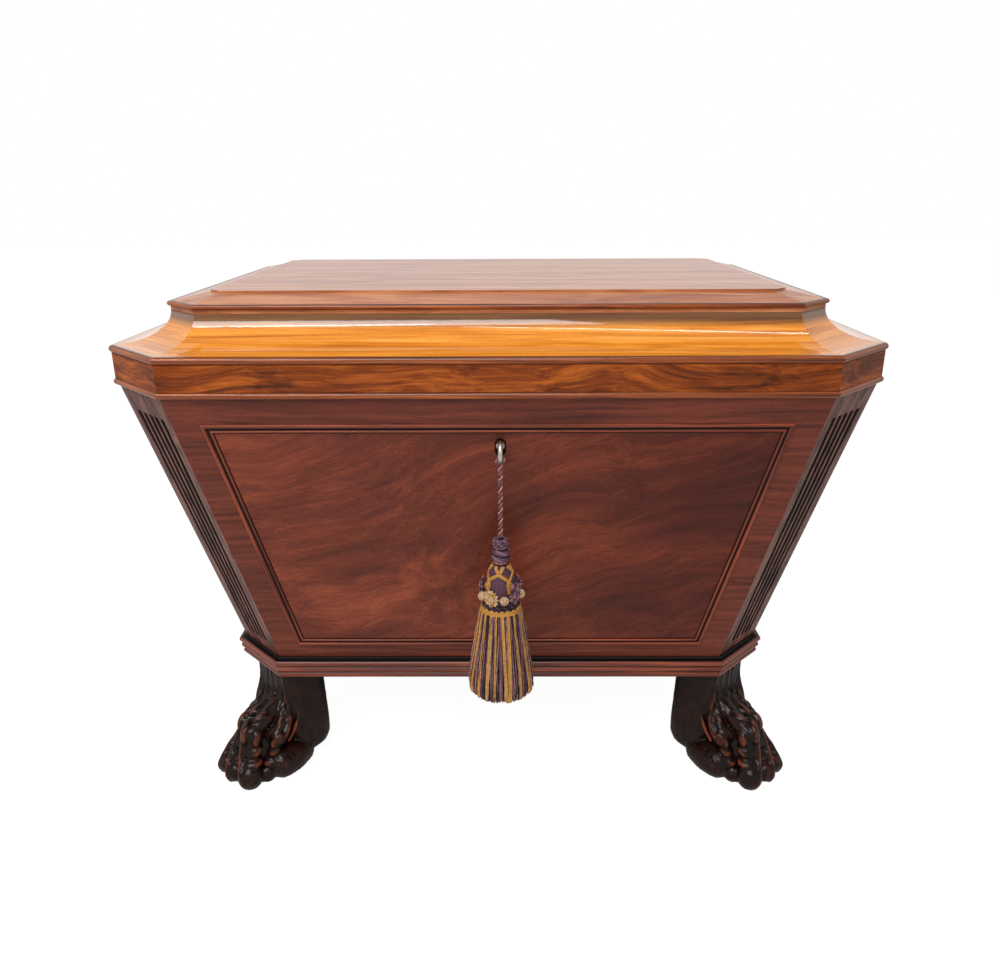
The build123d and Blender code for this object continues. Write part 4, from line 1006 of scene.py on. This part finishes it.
class CELLARETTE_OT_case_mouldings(bpy.types.Operator):
    """Runs the reeded base moulding and the double bead round the fields"""
    bl_idname = "cellarette.case_mouldings"
    bl_label = "Case mouldings"

    def execute(self, context):
        settings = context.scene.cellarette_case
        reeded = mahogany("reeded_mahogany", "PIECE", settings.border_dark, settings.body_middle,
                          settings.body_light, figure=0.01, coat=0.35, hollows=True)
        cant = base_high.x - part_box("base_moulding_front")[1].x
        corners = octagon(base_high.x, base_high.y, cant)
        low, high = base_low.z, base_high.z
        back, quirk, step = 0.014, 0.0032, 0.0018
        pitch = (high - low - quirk) / 3
        radius = pitch / 2
        # Painted shade: the quirk above the reeds is near black, and the reeds' flanks darken towards the
        # grooves between them
        profile = [(-back, low, 0.0)]
        for i in (2, 1, 0):
            middle = high - quirk - radius - i * pitch
            ring = arc((-i * step - radius, middle), (radius, radius), -90, 90, 16)
            profile += [(x, z, flank(abs(z - middle) / radius, 0.72, 0.2)) for x, z, _ in ring]
        profile += [(-3 * step, high - quirk, 1.0), (-3 * step, high, 1.0), (-back, high, 0.0)]
        made = strips(profile, corners)
        for side, chosen in (("front", [STRAIGHT["front"]]), ("back", [STRAIGHT["back"]]),
                             ("ends", [STRAIGHT["left"], STRAIGHT["right"]]), ("corners", CORNERS)):
            add_strips(f"base_reeds_{side}", made, chosen, reeded, "case", [f"base_moulding_{side}"])
        self.fields(settings)
        return {"FINISHED"}

    def fields(self, settings):
        """The mitred loops of moulding on the front and the two ends."""
        beaded = mahogany("beaded_mahogany", "PIECE", settings.border_dark, settings.border_light,
                          settings.body_light, figure=0.004, coat=0.2, hollows=True, gloss=0.05)
        # A broad bead, a groove with painted shade near black, a narrow bead and a quirk with painted shade
        # near black
        width, height, bead, inner, quirk, slit = 0.010, 0.0024, 0.0037, 0.0023, 0.0011, 0.0002
        ground = height / 4
        far = quirk - width
        profile = [(0.0, 0.0, 0.6)]
        profile += arc((-bead / 2, ground), (bead / 2, height - ground), 0, 180, 12)
        profile += [(-bead - slit, ground, 1.0), (far + inner + slit, ground, 1.0)]
        profile += arc((far + inner / 2, ground), (inner / 2, height * 0.55), 0, 180, 10)
        profile += [(far - slit / 2, ground / 2, 1.0), (-width, ground / 2, 1.0), (-width, 0.0, 1.0)]
        lean = math.acos(max(-1.0, min(1.0, Vector(joints["key_turn"]["axis"]).y)))
        (low_half, low_z), (high_half, high_z) = field_levels(settings)
        slope = 1 / math.cos(lean)
        tall = (high_z - low_z) * slope

        def face_place(out, reach):
            """Stands the drawing plane of a moulding on a leaning face."""
            normal = out * math.cos(lean) - Vector((0, 0, math.sin(lean)))
            along = Vector((0, 0, 1)).cross(out)
            turn = Matrix((along, normal.cross(along), normal)).transposed()
            foot = reach - (body_high.z - low_z) * math.tan(lean)
            return Matrix.Translation(out * foot + Vector((0, 0, low_z))) @ turn.to_4x4()

        def loop(low, high):
            """Corners of a field, by its half widths at the foot and the head."""
            return [Vector((-low, 0, 0)), Vector((low, 0, 0)), Vector((high, tall, 0)),
                    Vector((-high, tall, 0))]

        front = strips(profile, loop(low_half, high_half), face_place(Vector((0, -1, 0)), abs(body_low.y)))
        add_strips("field_beads_front", front, range(4), beaded, "case", ["field_moulding_front"])
        end_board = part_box("right_board")[1]
        set_back = body_high.x - end_board.y
        depths = loop(low_half - set_back, high_half - set_back)
        ends = []
        for way in (-1, 1):
            ends += strips(profile, depths, face_place(Vector((way, 0, 0)), end_board.x))
        add_strips("field_beads_ends", ends, range(8), beaded, "case", ["field_moulding_ends"])


class CELLARETTE_OT_lid(bpy.types.Operator):
    """Runs the lid's cove and beads and finishes its frieze, top and raised panel"""
    bl_idname = "cellarette.lid"
    bl_label = "Lid"

    def execute(self, context):
        settings = context.scene.cellarette_lid
        tones = (settings.frieze_dark, settings.frieze_middle, settings.frieze_light)
        for axis, names in (("X", ["lid_frieze_front", "lid_frieze_back"]),
                            ("Y", ["lid_frieze_left", "lid_frieze_right"]),
                            ("CORNER", ["lid_frieze_corners"])):
            dress(names, mahogany(f"frieze_mahogany_{axis.lower()}", axis, *tones, figure=0.014, swirl=0.05,
                                  coat=0.2, coat_roughness=0.12, gloss=0.06))
        cant = rim_high.x - (frieze_box[1].x + 0.002 * (math.sqrt(2) - 1))
        corners = octagon(rim_high.x, rim_high.y, cant)
        bed = settings.bead_bed
        beads = mahogany("bead_mahogany", "PIECE", *tones, figure=0.004, coat=0.5, hollows=True)
        inset = rim_high.x - bead_high.x
        for name, box, out in (("lid_lower_bead", (lower_low, lower_high), 0.0),
                               ("lid_rim_bead", (rim_low, rim_high), 0.0),
                               ("lid_top_bead", (bead_low, bead_high), -inset)):
            low, high = box[0].z, box[1].z
            radius = (high - low) / 2
            middle = (low + high) / 2
            ring = arc((out - radius, middle), (radius, radius), -90, 90, 16)
            # Painted shade in the bed on either side of each bead, fading up its flanks
            profile = [(out - bed, low, 1.0)]
            profile += [(x, z, flank(abs(z - middle) / radius, 0.8, 0.18)) for x, z, _ in ring]
            profile += [(out - bed, high, 1.0)]
            add_strips(name.replace("lid_", "lid_round_"), strips(profile, corners), range(8), beads, "lid",
                       [name])
        foot, run = settings.cove_foot_inset, settings.cove_run
        low, high = cove_low.z, cove_high.z
        steps, neck_start = 40, 28
        sweep = arc((-foot, high), (run, high - low), 270, 180, steps)
        # Painted shade and dark reflection in a band under the neck of the cove, and painted shade along
        # its foot
        profile = [(x, z, max(0.0, 1 - k / 1.5, min(0.8, (k - neck_start) / 8)))
                   for k, (x, z, _) in enumerate(sweep)]
        neck_depth, ledge, foot_depth = 0.024, 0.012, 0.046
        back = -foot - run - neck_depth
        profile += [(back, high, 0.0), (back, high - ledge, 0.0), (-foot - foot_depth, low, 0.0)]
        made = strips(profile, corners)
        # The cove's bright colours are partly painted light from above
        cove = mahogany("cove_mahogany", "PIECE", settings.cove_dark, settings.cove_middle,
                        settings.cove_light, figure=0.009, coat=1.0, coat_roughness=0.05, roughness=0.35,
                        hollows=True, bump=0.0001)
        for side, index in STRAIGHT.items():
            add_strips(f"cove_run_{side}", made, [index], cove, "lid", [f"lid_cove_{side}"])
        add_strips("cove_run_corners", made, CORNERS, cove, "lid", ["lid_cove_corners"])
        top = mahogany("top_mahogany", "X", settings.top_dark, settings.top_middle, settings.top_light,
                       figure=0.02, swirl=0.03, coat=0.6, coat_roughness=0.14)
        dress(["lid_top_board", "lid_raised_panel"], top)
        return {"FINISHED"}


class CELLARETTE_OT_feet(bpy.types.Operator):
    """Carves the paw feet and sets one under each canted corner"""
    bl_idname = "cellarette.feet"
    bl_label = "Paw feet"

    def execute(self, context):
        settings = context.scene.cellarette_foot
        finish = carved_mahogany("carved_mahogany", settings)
        co, faces, hollow, worn = carved_paw()
        for quarter, (x, y) in QUARTERS.items():
            turn = math.atan2(y, x)
            spin = np.array(Matrix.Rotation(turn, 3, "Z"))
            handed = co * np.array([1.0, x * y, 1.0])
            points = handed @ spin.T + np.array([x * settings.reach_x, y * settings.reach_y, 0.0])
            marks = {"hollow": hollow, "worn": worn}
            add_piece(f"carved_paw_{quarter}", points, faces, [finish], "case",
                      [f"paw_foot_{quarter}"], marks=marks)
        return {"FINISHED"}


class CELLARETTE_OT_metalwork(bpy.types.Operator):
    """Finishes the hinges, the lock, the screws, the escutcheon and the key"""
    bl_idname = "cellarette.metalwork"
    bl_label = "Hinges, lock and key"

    def execute(self, context):
        brass = metal("old_brass", "#B48A45", "#6B4A22", 0.3)
        steel = metal("handled_steel", "#C4C0BA", "#7B736B", 0.25, amount=0.4)
        lining = metal("blackened_brass", "#2A1D14", "#0E0907", 0.5, amount=0.7)
        dress(["escutcheon"], lining)
        dress(["hinge_leaves_lower", "hinge_leaves_upper", "lock_case", "lock_cap", "lock_selvedge",
               "hinge_screws_lower", "hinge_screws_upper", "selvedge_screws", "link_plate", "link_screws",
               "lock_bolt"], brass)
        dress(["hinge_pins", "foot_screws", "key"], steel)
        return {"FINISHED"}


class CELLARETTE_OT_cord(bpy.types.Operator):
    """Lays up the twisted cord and its loop round the bow of the key"""
    bl_idname = "cellarette.cord"
    bl_label = "Tassel cord"

    def execute(self, context):
        settings = context.scene.cellarette_tassel
        pivot = Vector(joints["cord_swing"]["pos_m"])
        # The ring of the key's bow, and the play of the cord's loop round its bar
        bar_radius, ring_radius, gap = 0.0025, 0.009, 0.0003
        top = pivot.z - ring_radius - bar_radius - gap
        bottom = top - settings.cord_length
        route = [(pivot.x, pivot.y, top), (pivot.x, pivot.y, (top + bottom) / 2),
                 (pivot.x, pivot.y, bottom)]
        curve = bpy.data.curves.new("cord_route", "CURVE")
        curve.dimensions = "3D"
        spline = curve.splines.new("NURBS")
        spline.points.add(len(route) - 1)
        for point, place in zip(spline.points, route):
            point.co = (*place, 1.0)
        spline.order_u = 3
        spline.use_endpoint_u = True
        line = bpy.data.objects.new("cord_route", curve)
        bpy.context.scene.collection.objects.link(line)
        mesh = bpy.data.meshes.new_from_object(line)
        path = [vertex.co.copy() for vertex in mesh.vertices]
        bpy.data.objects.remove(line)
        yarns = [silk("rose_silk", settings.rose, "#2A141E"), silk("peach_silk", settings.peach, "#4A2430")]
        ply = settings.cord_diameter / 4
        plies = twisted(path, 2, ply * 0.86, ply * 1.1, 0.0115)
        cord = threads("tassel_cord", [*enumerate(plies)], yarns, "cord", ["cord"])
        bar = Vector((pivot.x, pivot.y, pivot.z - ring_radius))
        wide = bar_radius + gap + 0.0011
        turns = [math.radians(-70 + 320 * k / 24) for k in range(25)]
        loop_line = [Vector((pivot.x + 0.0008, pivot.y, top - 0.001))]
        loop_line += [bar + Vector((math.cos(t) * wide, 0, math.sin(t) * wide)) for t in turns]
        loop_line += [Vector((pivot.x - 0.0008, pivot.y, top - 0.001))]
        loop_plies = twisted(loop_line, 2, 0.0007, 0.0006, 0.006, sides=6)
        loop = threads("tassel_loop", [*enumerate(loop_plies)], yarns, "cord")
        return {"FINISHED"}


class CELLARETTE_OT_tassel(bpy.types.Operator):
    """Works the knot, the collar, the netted head, the rosettes and the skirt of the tassel"""
    bl_idname = "cellarette.tassel"
    bl_label = "Tassel"

    def execute(self, context):
        settings = context.scene.cellarette_tassel
        self.yarns = [silk("plum_yarn", settings.plum, "#1A1018"),
                      silk("gold_yarn", settings.gold, "#8A5A22", 0.35),
                      silk("mauve_yarn", settings.mauve, "#3E2732"),
                      silk("cream_yarn", settings.cream, "#8E6A4E"),
                      silk("pink_yarn", settings.pink, "#6E4044"),
                      silk("lilac_yarn", settings.lilac, "#5E4250"),
                      silk("rust_yarn", settings.rust, "#3A1612")]
        low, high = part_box("tassel_skirt")
        self.axis = Vector(((low.x + high.x) / 2, (low.y + high.y) / 2, 0))
        self.head_low, self.head_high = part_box("tassel_head")
        self.knot()
        self.collar()
        self.head()
        self.rosettes()
        self.skirt(settings)
        return {"FINISHED"}

    def at(self, turn, radius, z):
        """A point round the tassel's axis."""
        return self.axis + Vector((math.cos(turn) * radius, math.sin(turn) * radius, z))

    def winding(self, radius_at, z_high, z_low, yarn, pitch=1.8, lean=0.0):
        """Turns of one yarn down a turned shape; pitch is the rise of a turn in yarn radii."""
        turns = (z_high - z_low) / (yarn * pitch)
        steps = max(24, round(turns * 22))
        line = []
        for k in range(steps + 1):
            share = k / steps
            z = z_high - (z_high - z_low) * share
            line.append(self.at(share * turns * 2 * math.pi + lean, radius_at(share), z))
        return tube(line, yarn, sides=6)

    def knot(self):
        """Three interlaced strands over a dark plum core, which shows as painted shade in the gaps between
        them.
        """
        low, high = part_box("tassel_knot")
        radius = (high.x - low.x) / 2
        parts = []
        middle = (low.z + high.z) / 2
        half = (high.z - low.z) / 2
        for strand in range(3):
            phase = 2 * math.pi * strand / 3
            line = []
            for k in range(97):
                t = 2 * math.pi * k / 96
                reach = radius - 0.0026 + 0.0013 * math.cos(3 * t + phase)
                line.append(self.at(2 * t + phase, reach,
                                    middle + (half - 0.0018) * math.sin(3 * t + phase)))
            parts += zip((MAUVE, LILAC), twisted(line, 2, 0.00085, 0.0008, 0.006, sides=6))
        # Painted shade: the dark core shows through the gaps between the strands
        core = (radius * 0.6, radius * 0.6, half * 0.9)
        parts.append((PLUM, ellipsoid(self.axis + Vector((0, 0, middle)), core)))
        threads("tassel_knot_work", parts, self.yarns, "tassel", ["tassel_knot"])

    def collar(self):
        """Two thick rolls of mauve strands over a narrow pink neck."""
        low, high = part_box("tassel_collar")
        radius = (high.x - low.x) / 2
        neck = low.z + 0.0038
        roll = (high.z - neck) / 4
        parts = []
        for k, reach in enumerate((radius - roll * 1.1, radius - roll)):
            z = high.z - roll * (1 + 2 * k)
            ring = [self.at(2 * math.pi * i / 60, reach, z + 0.0006 * math.sin(math.pi * i / 15 + k))
                    for i in range(61)]
            plies = twisted(ring, 4, roll * 0.5, roll * 0.55, 0.03, sides=7, phase=k)
            parts += zip((LILAC, MAUVE, PLUM, MAUVE), plies)
        wound = self.winding(lambda s: radius - 0.0026 - 0.001 * s, neck, low.z + 0.0005, 0.0006)
        parts.append((PINK, wound))
        core = (radius * 0.62, radius * 0.62, (high.z - low.z) / 2)
        parts.append((PLUM, ellipsoid(self.axis + Vector((0, 0, (high.z + low.z) / 2)), core)))
        threads("tassel_collar_wraps", parts, self.yarns, "tassel", ["tassel_collar"])

    def head_radius(self, share):
        """Radius of the head's winding, at a share of the way down."""
        full = (self.head_high.x - self.head_low.x) / 2
        return full * (0.52 + 0.48 * math.sin(min(1.0, share * 1.9) * math.pi / 2) ** 0.9) - 0.0016

    def ribbon(self, stations, width):
        """A plait of three yarns laid over the head, through (degrees from the front, share) stations."""
        low, high = self.head_low, self.head_high
        line = curved([Vector((math.radians(angle), share, 0)) for angle, share in stations])
        made = []
        for lane in (-1, 0, 1):
            path = []
            for k, point in enumerate(line):
                ahead = line[min(k + 1, len(line) - 1)] - line[max(k - 1, 0)]
                span = high.z - low.z
                across = Vector((ahead.y * span, ahead.x * self.head_radius(point.y), 0)).normalized()
                turn = point.x + lane * width / 3 * across.x / self.head_radius(point.y)
                z = high.z - span * point.y + lane * width / 3 * across.y
                path.append(self.at(turn - math.pi / 2, self.head_radius(point.y) + 0.0011, z))
            made.append(tube(path, width / 5, sides=6))
        return made

    def head(self):
        """Mauve winding under four crossings of gold ribbon, and two twisted plum cords round the foot."""
        low, high = self.head_low, self.head_high
        parts = [(MAUVE, self.winding(self.head_radius, high.z - 0.0004, low.z + 0.0008, 0.0007))]
        for cross in range(4):
            for hand in (-1, 1):
                stations = [(-26 * hand, 0.02), (0, 0.16), (34 * hand, 0.28),
                            (50 * hand, 0.40), (50 * hand, 0.50), (40 * hand, 0.62)]
                shifted = [(angle - 10 + 90 * cross, share) for angle, share in stations]
                parts += [(GOLD, lane) for lane in self.ribbon(shifted, 0.0032)]
        for k, z in enumerate((low.z + 0.0062, low.z + 0.0026)):
            ring = [self.at(2 * math.pi * i / 72, self.head_radius(0.95) + 0.0020 + 0.0006 * k, z)
                    for i in range(73)]
            plies = twisted(ring, 3, 0.0010, 0.0011, 0.0075, sides=6, phase=k)
            parts += zip((PLUM, MAUVE, PLUM), plies)
        threads("tassel_head_net", parts, self.yarns, "tassel", ["tassel_head"])

    def rosettes(self):
        """Looped rosettes round the lower half of the head, with a wound ball beside each."""
        low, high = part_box("tassel_rosettes")
        middle = (low.z + high.z) / 2
        reach = (high.x - low.x) / 2 - 0.0016
        parts = []
        rng = random.Random(5)
        # Degrees from the front, the loops' reach and yarns, their height over the ring, their stretch
        looks = ((-33, 0.0088, (CREAM, CREAM, GOLD), 0.0, 1.0),
                 (50, 0.0080, (MAUVE, LILAC, PINK), 0.0045, 1.5),
                 (112, 0.0080, (PINK, LILAC, MAUVE), 0.0045, 1.5),
                 (180, 0.0085, (CREAM, CREAM, GOLD), 0.0, 1.0),
                 (-98, 0.0080, (MAUVE, PINK, LILAC), 0.0045, 1.5))
        for angle, spread, mix, rise, stretch in looks:
            turn = math.radians(angle - 90)
            out = Vector((math.cos(turn), math.sin(turn), 0))
            side = Vector((-math.sin(turn), math.cos(turn), 0))
            heart = self.axis + out * reach + Vector((0, 0, middle + rise))
            for tier, petals in ((0, 14), (1, 9)):
                span = spread * (1.0 - 0.42 * tier)
                for petal in range(petals):
                    a = 2 * math.pi * petal / petals + rng.uniform(-0.12, 0.12)
                    way = side * math.cos(a) + Vector((0, 0, math.sin(a) * stretch))
                    cross = side * -math.sin(a) + Vector((0, 0, math.cos(a)))
                    line = []
                    for k in range(15):
                        t = math.pi * k / 14
                        far = span * (0.22 + 0.78 * math.sin(t))
                        lift = 0.0016 * math.sin(t) + 0.0018 * tier - far * far * 22
                        aside = cross * 0.0014 * math.cos(t) * math.sin(t) ** 0.5
                        line.append(heart + way * far + aside + out * lift)
                    parts.append((mix[petal % 3], tube(line, 0.00085, sides=6)))
            eye = ellipsoid(heart + out * 0.0022, (0.0022, 0.0022, 0.0022), rows=8, columns=12)
            parts.append((mix[0], eye))
        ball = 0.0042
        for angle in (10, 82, 146, -143, -66):
            turn = math.radians(angle - 90)
            heart = self.at(turn, reach + 0.0018, middle - 0.0004)
            parts.append((CREAM, ellipsoid(heart, (ball, ball, ball))))
            spin = Matrix.Rotation(turn, 3, "Z")
            for lap in range(7):
                tip = math.pi * (lap + 0.5) / 7
                line = []
                for k in range(21):
                    t = 2 * math.pi * k / 20
                    way = Vector((math.cos(t) * math.sin(tip), math.cos(tip), math.sin(t) * math.sin(tip)))
                    line.append(heart + spin @ way * (ball + 0.0001))
                parts.append((CREAM, tube(line, 0.0006, sides=5)))
        threads("tassel_rosette_loops", parts, self.yarns, "tassel", ["tassel_rosettes"])

    def hang(self, share, foot):
        """Radius of the skirt: full at the top, then flaring to its foot."""
        shares = (0.0, 0.04, 0.3, 0.6, 0.85, 1.0)
        radii = (0.0195, 0.0212, foot * 0.71, foot * 0.85, foot * 0.96, foot * 0.95)
        return float(np.interp(share, shares, radii))

    def skirt(self, settings):
        """Bundles of gold between plum, with loose pale threads over them and rust at the frayed ends."""
        low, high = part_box("tassel_skirt")
        foot = (high.x - low.x) / 2 - 0.0014
        tall = high.z - low.z
        rng = random.Random(11)
        parts = []
        bundles, loose, frayed = 21, 70, 240
        each = settings.strand_count // bundles

        def strand(turn, sway, inset, radius, top, bottom, stray=0.0004):
            """One thread down the skirt, between two shares of its length."""
            line = []
            for k in range(12):
                share = top + (bottom - top) * k / 11
                wave = stray * math.sin(share * 9 + turn * 40)
                reach = self.hang(share, foot) - inset + wave
                line.append(self.at(turn + sway * share + wave * 14 * share, reach, high.z - tall * share))
            return tube(line, radius, sides=5)

        for bundle in range(bundles):
            start = 2 * math.pi * (bundle + rng.uniform(-0.18, 0.18)) / bundles
            lean = rng.uniform(-0.10, 0.10)
            gold_count = 3 if bundle % 5 else 2
            width = 0.0008 if bundle % 3 else 0.00062
            for i in range(each):
                turn = start + 2 * math.pi * i / (bundles * each)
                if i < gold_count:
                    parts.append((GOLD, strand(turn, lean, -0.0003, width, 0.0,
                                               1 - rng.uniform(0.005, 0.03), 0.00015)))
                else:
                    chance = rng.random()
                    colour = next(yarn for limit, yarn in SKIRT_MIX if chance < limit)
                    sway = lean + rng.uniform(-0.06, 0.06)
                    inset = rng.uniform(0, 0.0012)
                    end = 1 - rng.uniform(0.002, 0.03)
                    parts.append((colour, strand(turn, sway, inset, 0.0007, 0.0, end)))
        # Two inner layers fill the skirt, so that nothing shows through it
        for layer, count in ((1, 150), (2, 110)):
            for i in range(count):
                turn = 2 * math.pi * (i + rng.uniform(-0.3, 0.3)) / count
                sway = rng.uniform(-0.06, 0.06)
                inner = strand(turn, sway, 0.0019 * layer, 0.00095, 0.0, 1 - rng.uniform(0.0, 0.03))
                parts.append((PLUM if rng.random() < 0.8 else MAUVE, inner))
        for i in range(loose):
            turn, sway = rng.uniform(0, 2 * math.pi), rng.uniform(-0.25, 0.25)
            top, bottom = rng.uniform(0.02, 0.3), rng.uniform(0.7, 0.99)
            stray = strand(turn, sway, -0.0011, 0.00032, top, bottom, 0.0009)
            parts.append(((PINK, LILAC, CREAM, MAUVE)[i % 4], stray))
        sunk = (-0.0008, 0.004)
        for i in range(frayed):
            turn, sway, inset = rng.uniform(0, 2 * math.pi), rng.uniform(-0.5, 0.5), rng.uniform(*sunk)
            top, bottom = rng.uniform(0.91, 0.95), rng.uniform(0.97, 1.0)
            end = strand(turn, sway, inset, 0.00045, top, bottom, 0.0006)
            parts.append(((RUST, RUST, PLUM, PINK)[i % 4], end))
        # The tops of the gold bundles fold over the cord round the foot of the head
        for k in range(3):
            z = high.z - 0.0012 - 0.0015 * k
            ring = [self.at(2 * math.pi * i / 60, 0.0204 + 0.0004 * k, z) for i in range(61)]
            parts.append((GOLD, tube(ring, 0.0008, sides=6)))
        threads("tassel_skirt_threads", parts, self.yarns, "tassel", ["tassel_skirt"])


class CELLARETTE_PT_pieces(bpy.types.Panel):
    """Lists the steps that build the cellarette"""
    bl_idname = "CELLARETTE_PT_pieces"
    bl_label = "Cellarette"
    bl_space_type = "VIEW_3D"
    bl_region_type = "UI"
    bl_category = "Cellarette"

    def draw(self, context):
        """Lists the operators, then each group of settings."""
        for operator in OPERATORS:
            self.layout.operator(operator.bl_idname)
        for name in SETTINGS:
            box = self.layout.box()
            group = getattr(context.scene, name)
            for key in group.__annotations__:
                box.prop(group, key)


OPERATORS = (CELLARETTE_OT_stage, CELLARETTE_OT_cord, CELLARETTE_OT_carcass, CELLARETTE_OT_case_mouldings,
             CELLARETTE_OT_lid, CELLARETTE_OT_feet, CELLARETTE_OT_metalwork, CELLARETTE_OT_tassel)
SETTINGS = {"cellarette_stage": CellaretteStageSettings, "cellarette_case": CellaretteCaseSettings,
            "cellarette_lid": CellaretteLidSettings, "cellarette_foot": CellaretteFootSettings,
            "cellarette_tassel": CellaretteTasselSettings}


def register():
    """Adds the settings, the operators and the panel."""
    for name, group in SETTINGS.items():
        bpy.utils.register_class(group)
        setattr(bpy.types.Scene, name, PointerProperty(type=group))
    for operator in OPERATORS:
        bpy.utils.register_class(operator)
    bpy.utils.register_class(CELLARETTE_PT_pieces)


def unregister():
    """Takes them away again."""
    bpy.utils.unregister_class(CELLARETTE_PT_pieces)
    for operator in reversed(OPERATORS):
        bpy.utils.unregister_class(operator)
    for name, group in reversed(SETTINGS.items()):
        delattr(bpy.types.Scene, name)
        bpy.utils.unregister_class(group)


def main():
    """Builds the dressed cellarette."""
    register()
    bpy.ops.cellarette.stage()
    bpy.ops.cellarette.cord()
    bpy.ops.cellarette.carcass()
    bpy.ops.cellarette.case_mouldings()
    bpy.ops.cellarette.lid()
    bpy.ops.cellarette.feet()
    bpy.ops.cellarette.metalwork()
    bpy.ops.cellarette.tassel()


if __name__ == "__main__":
    main()
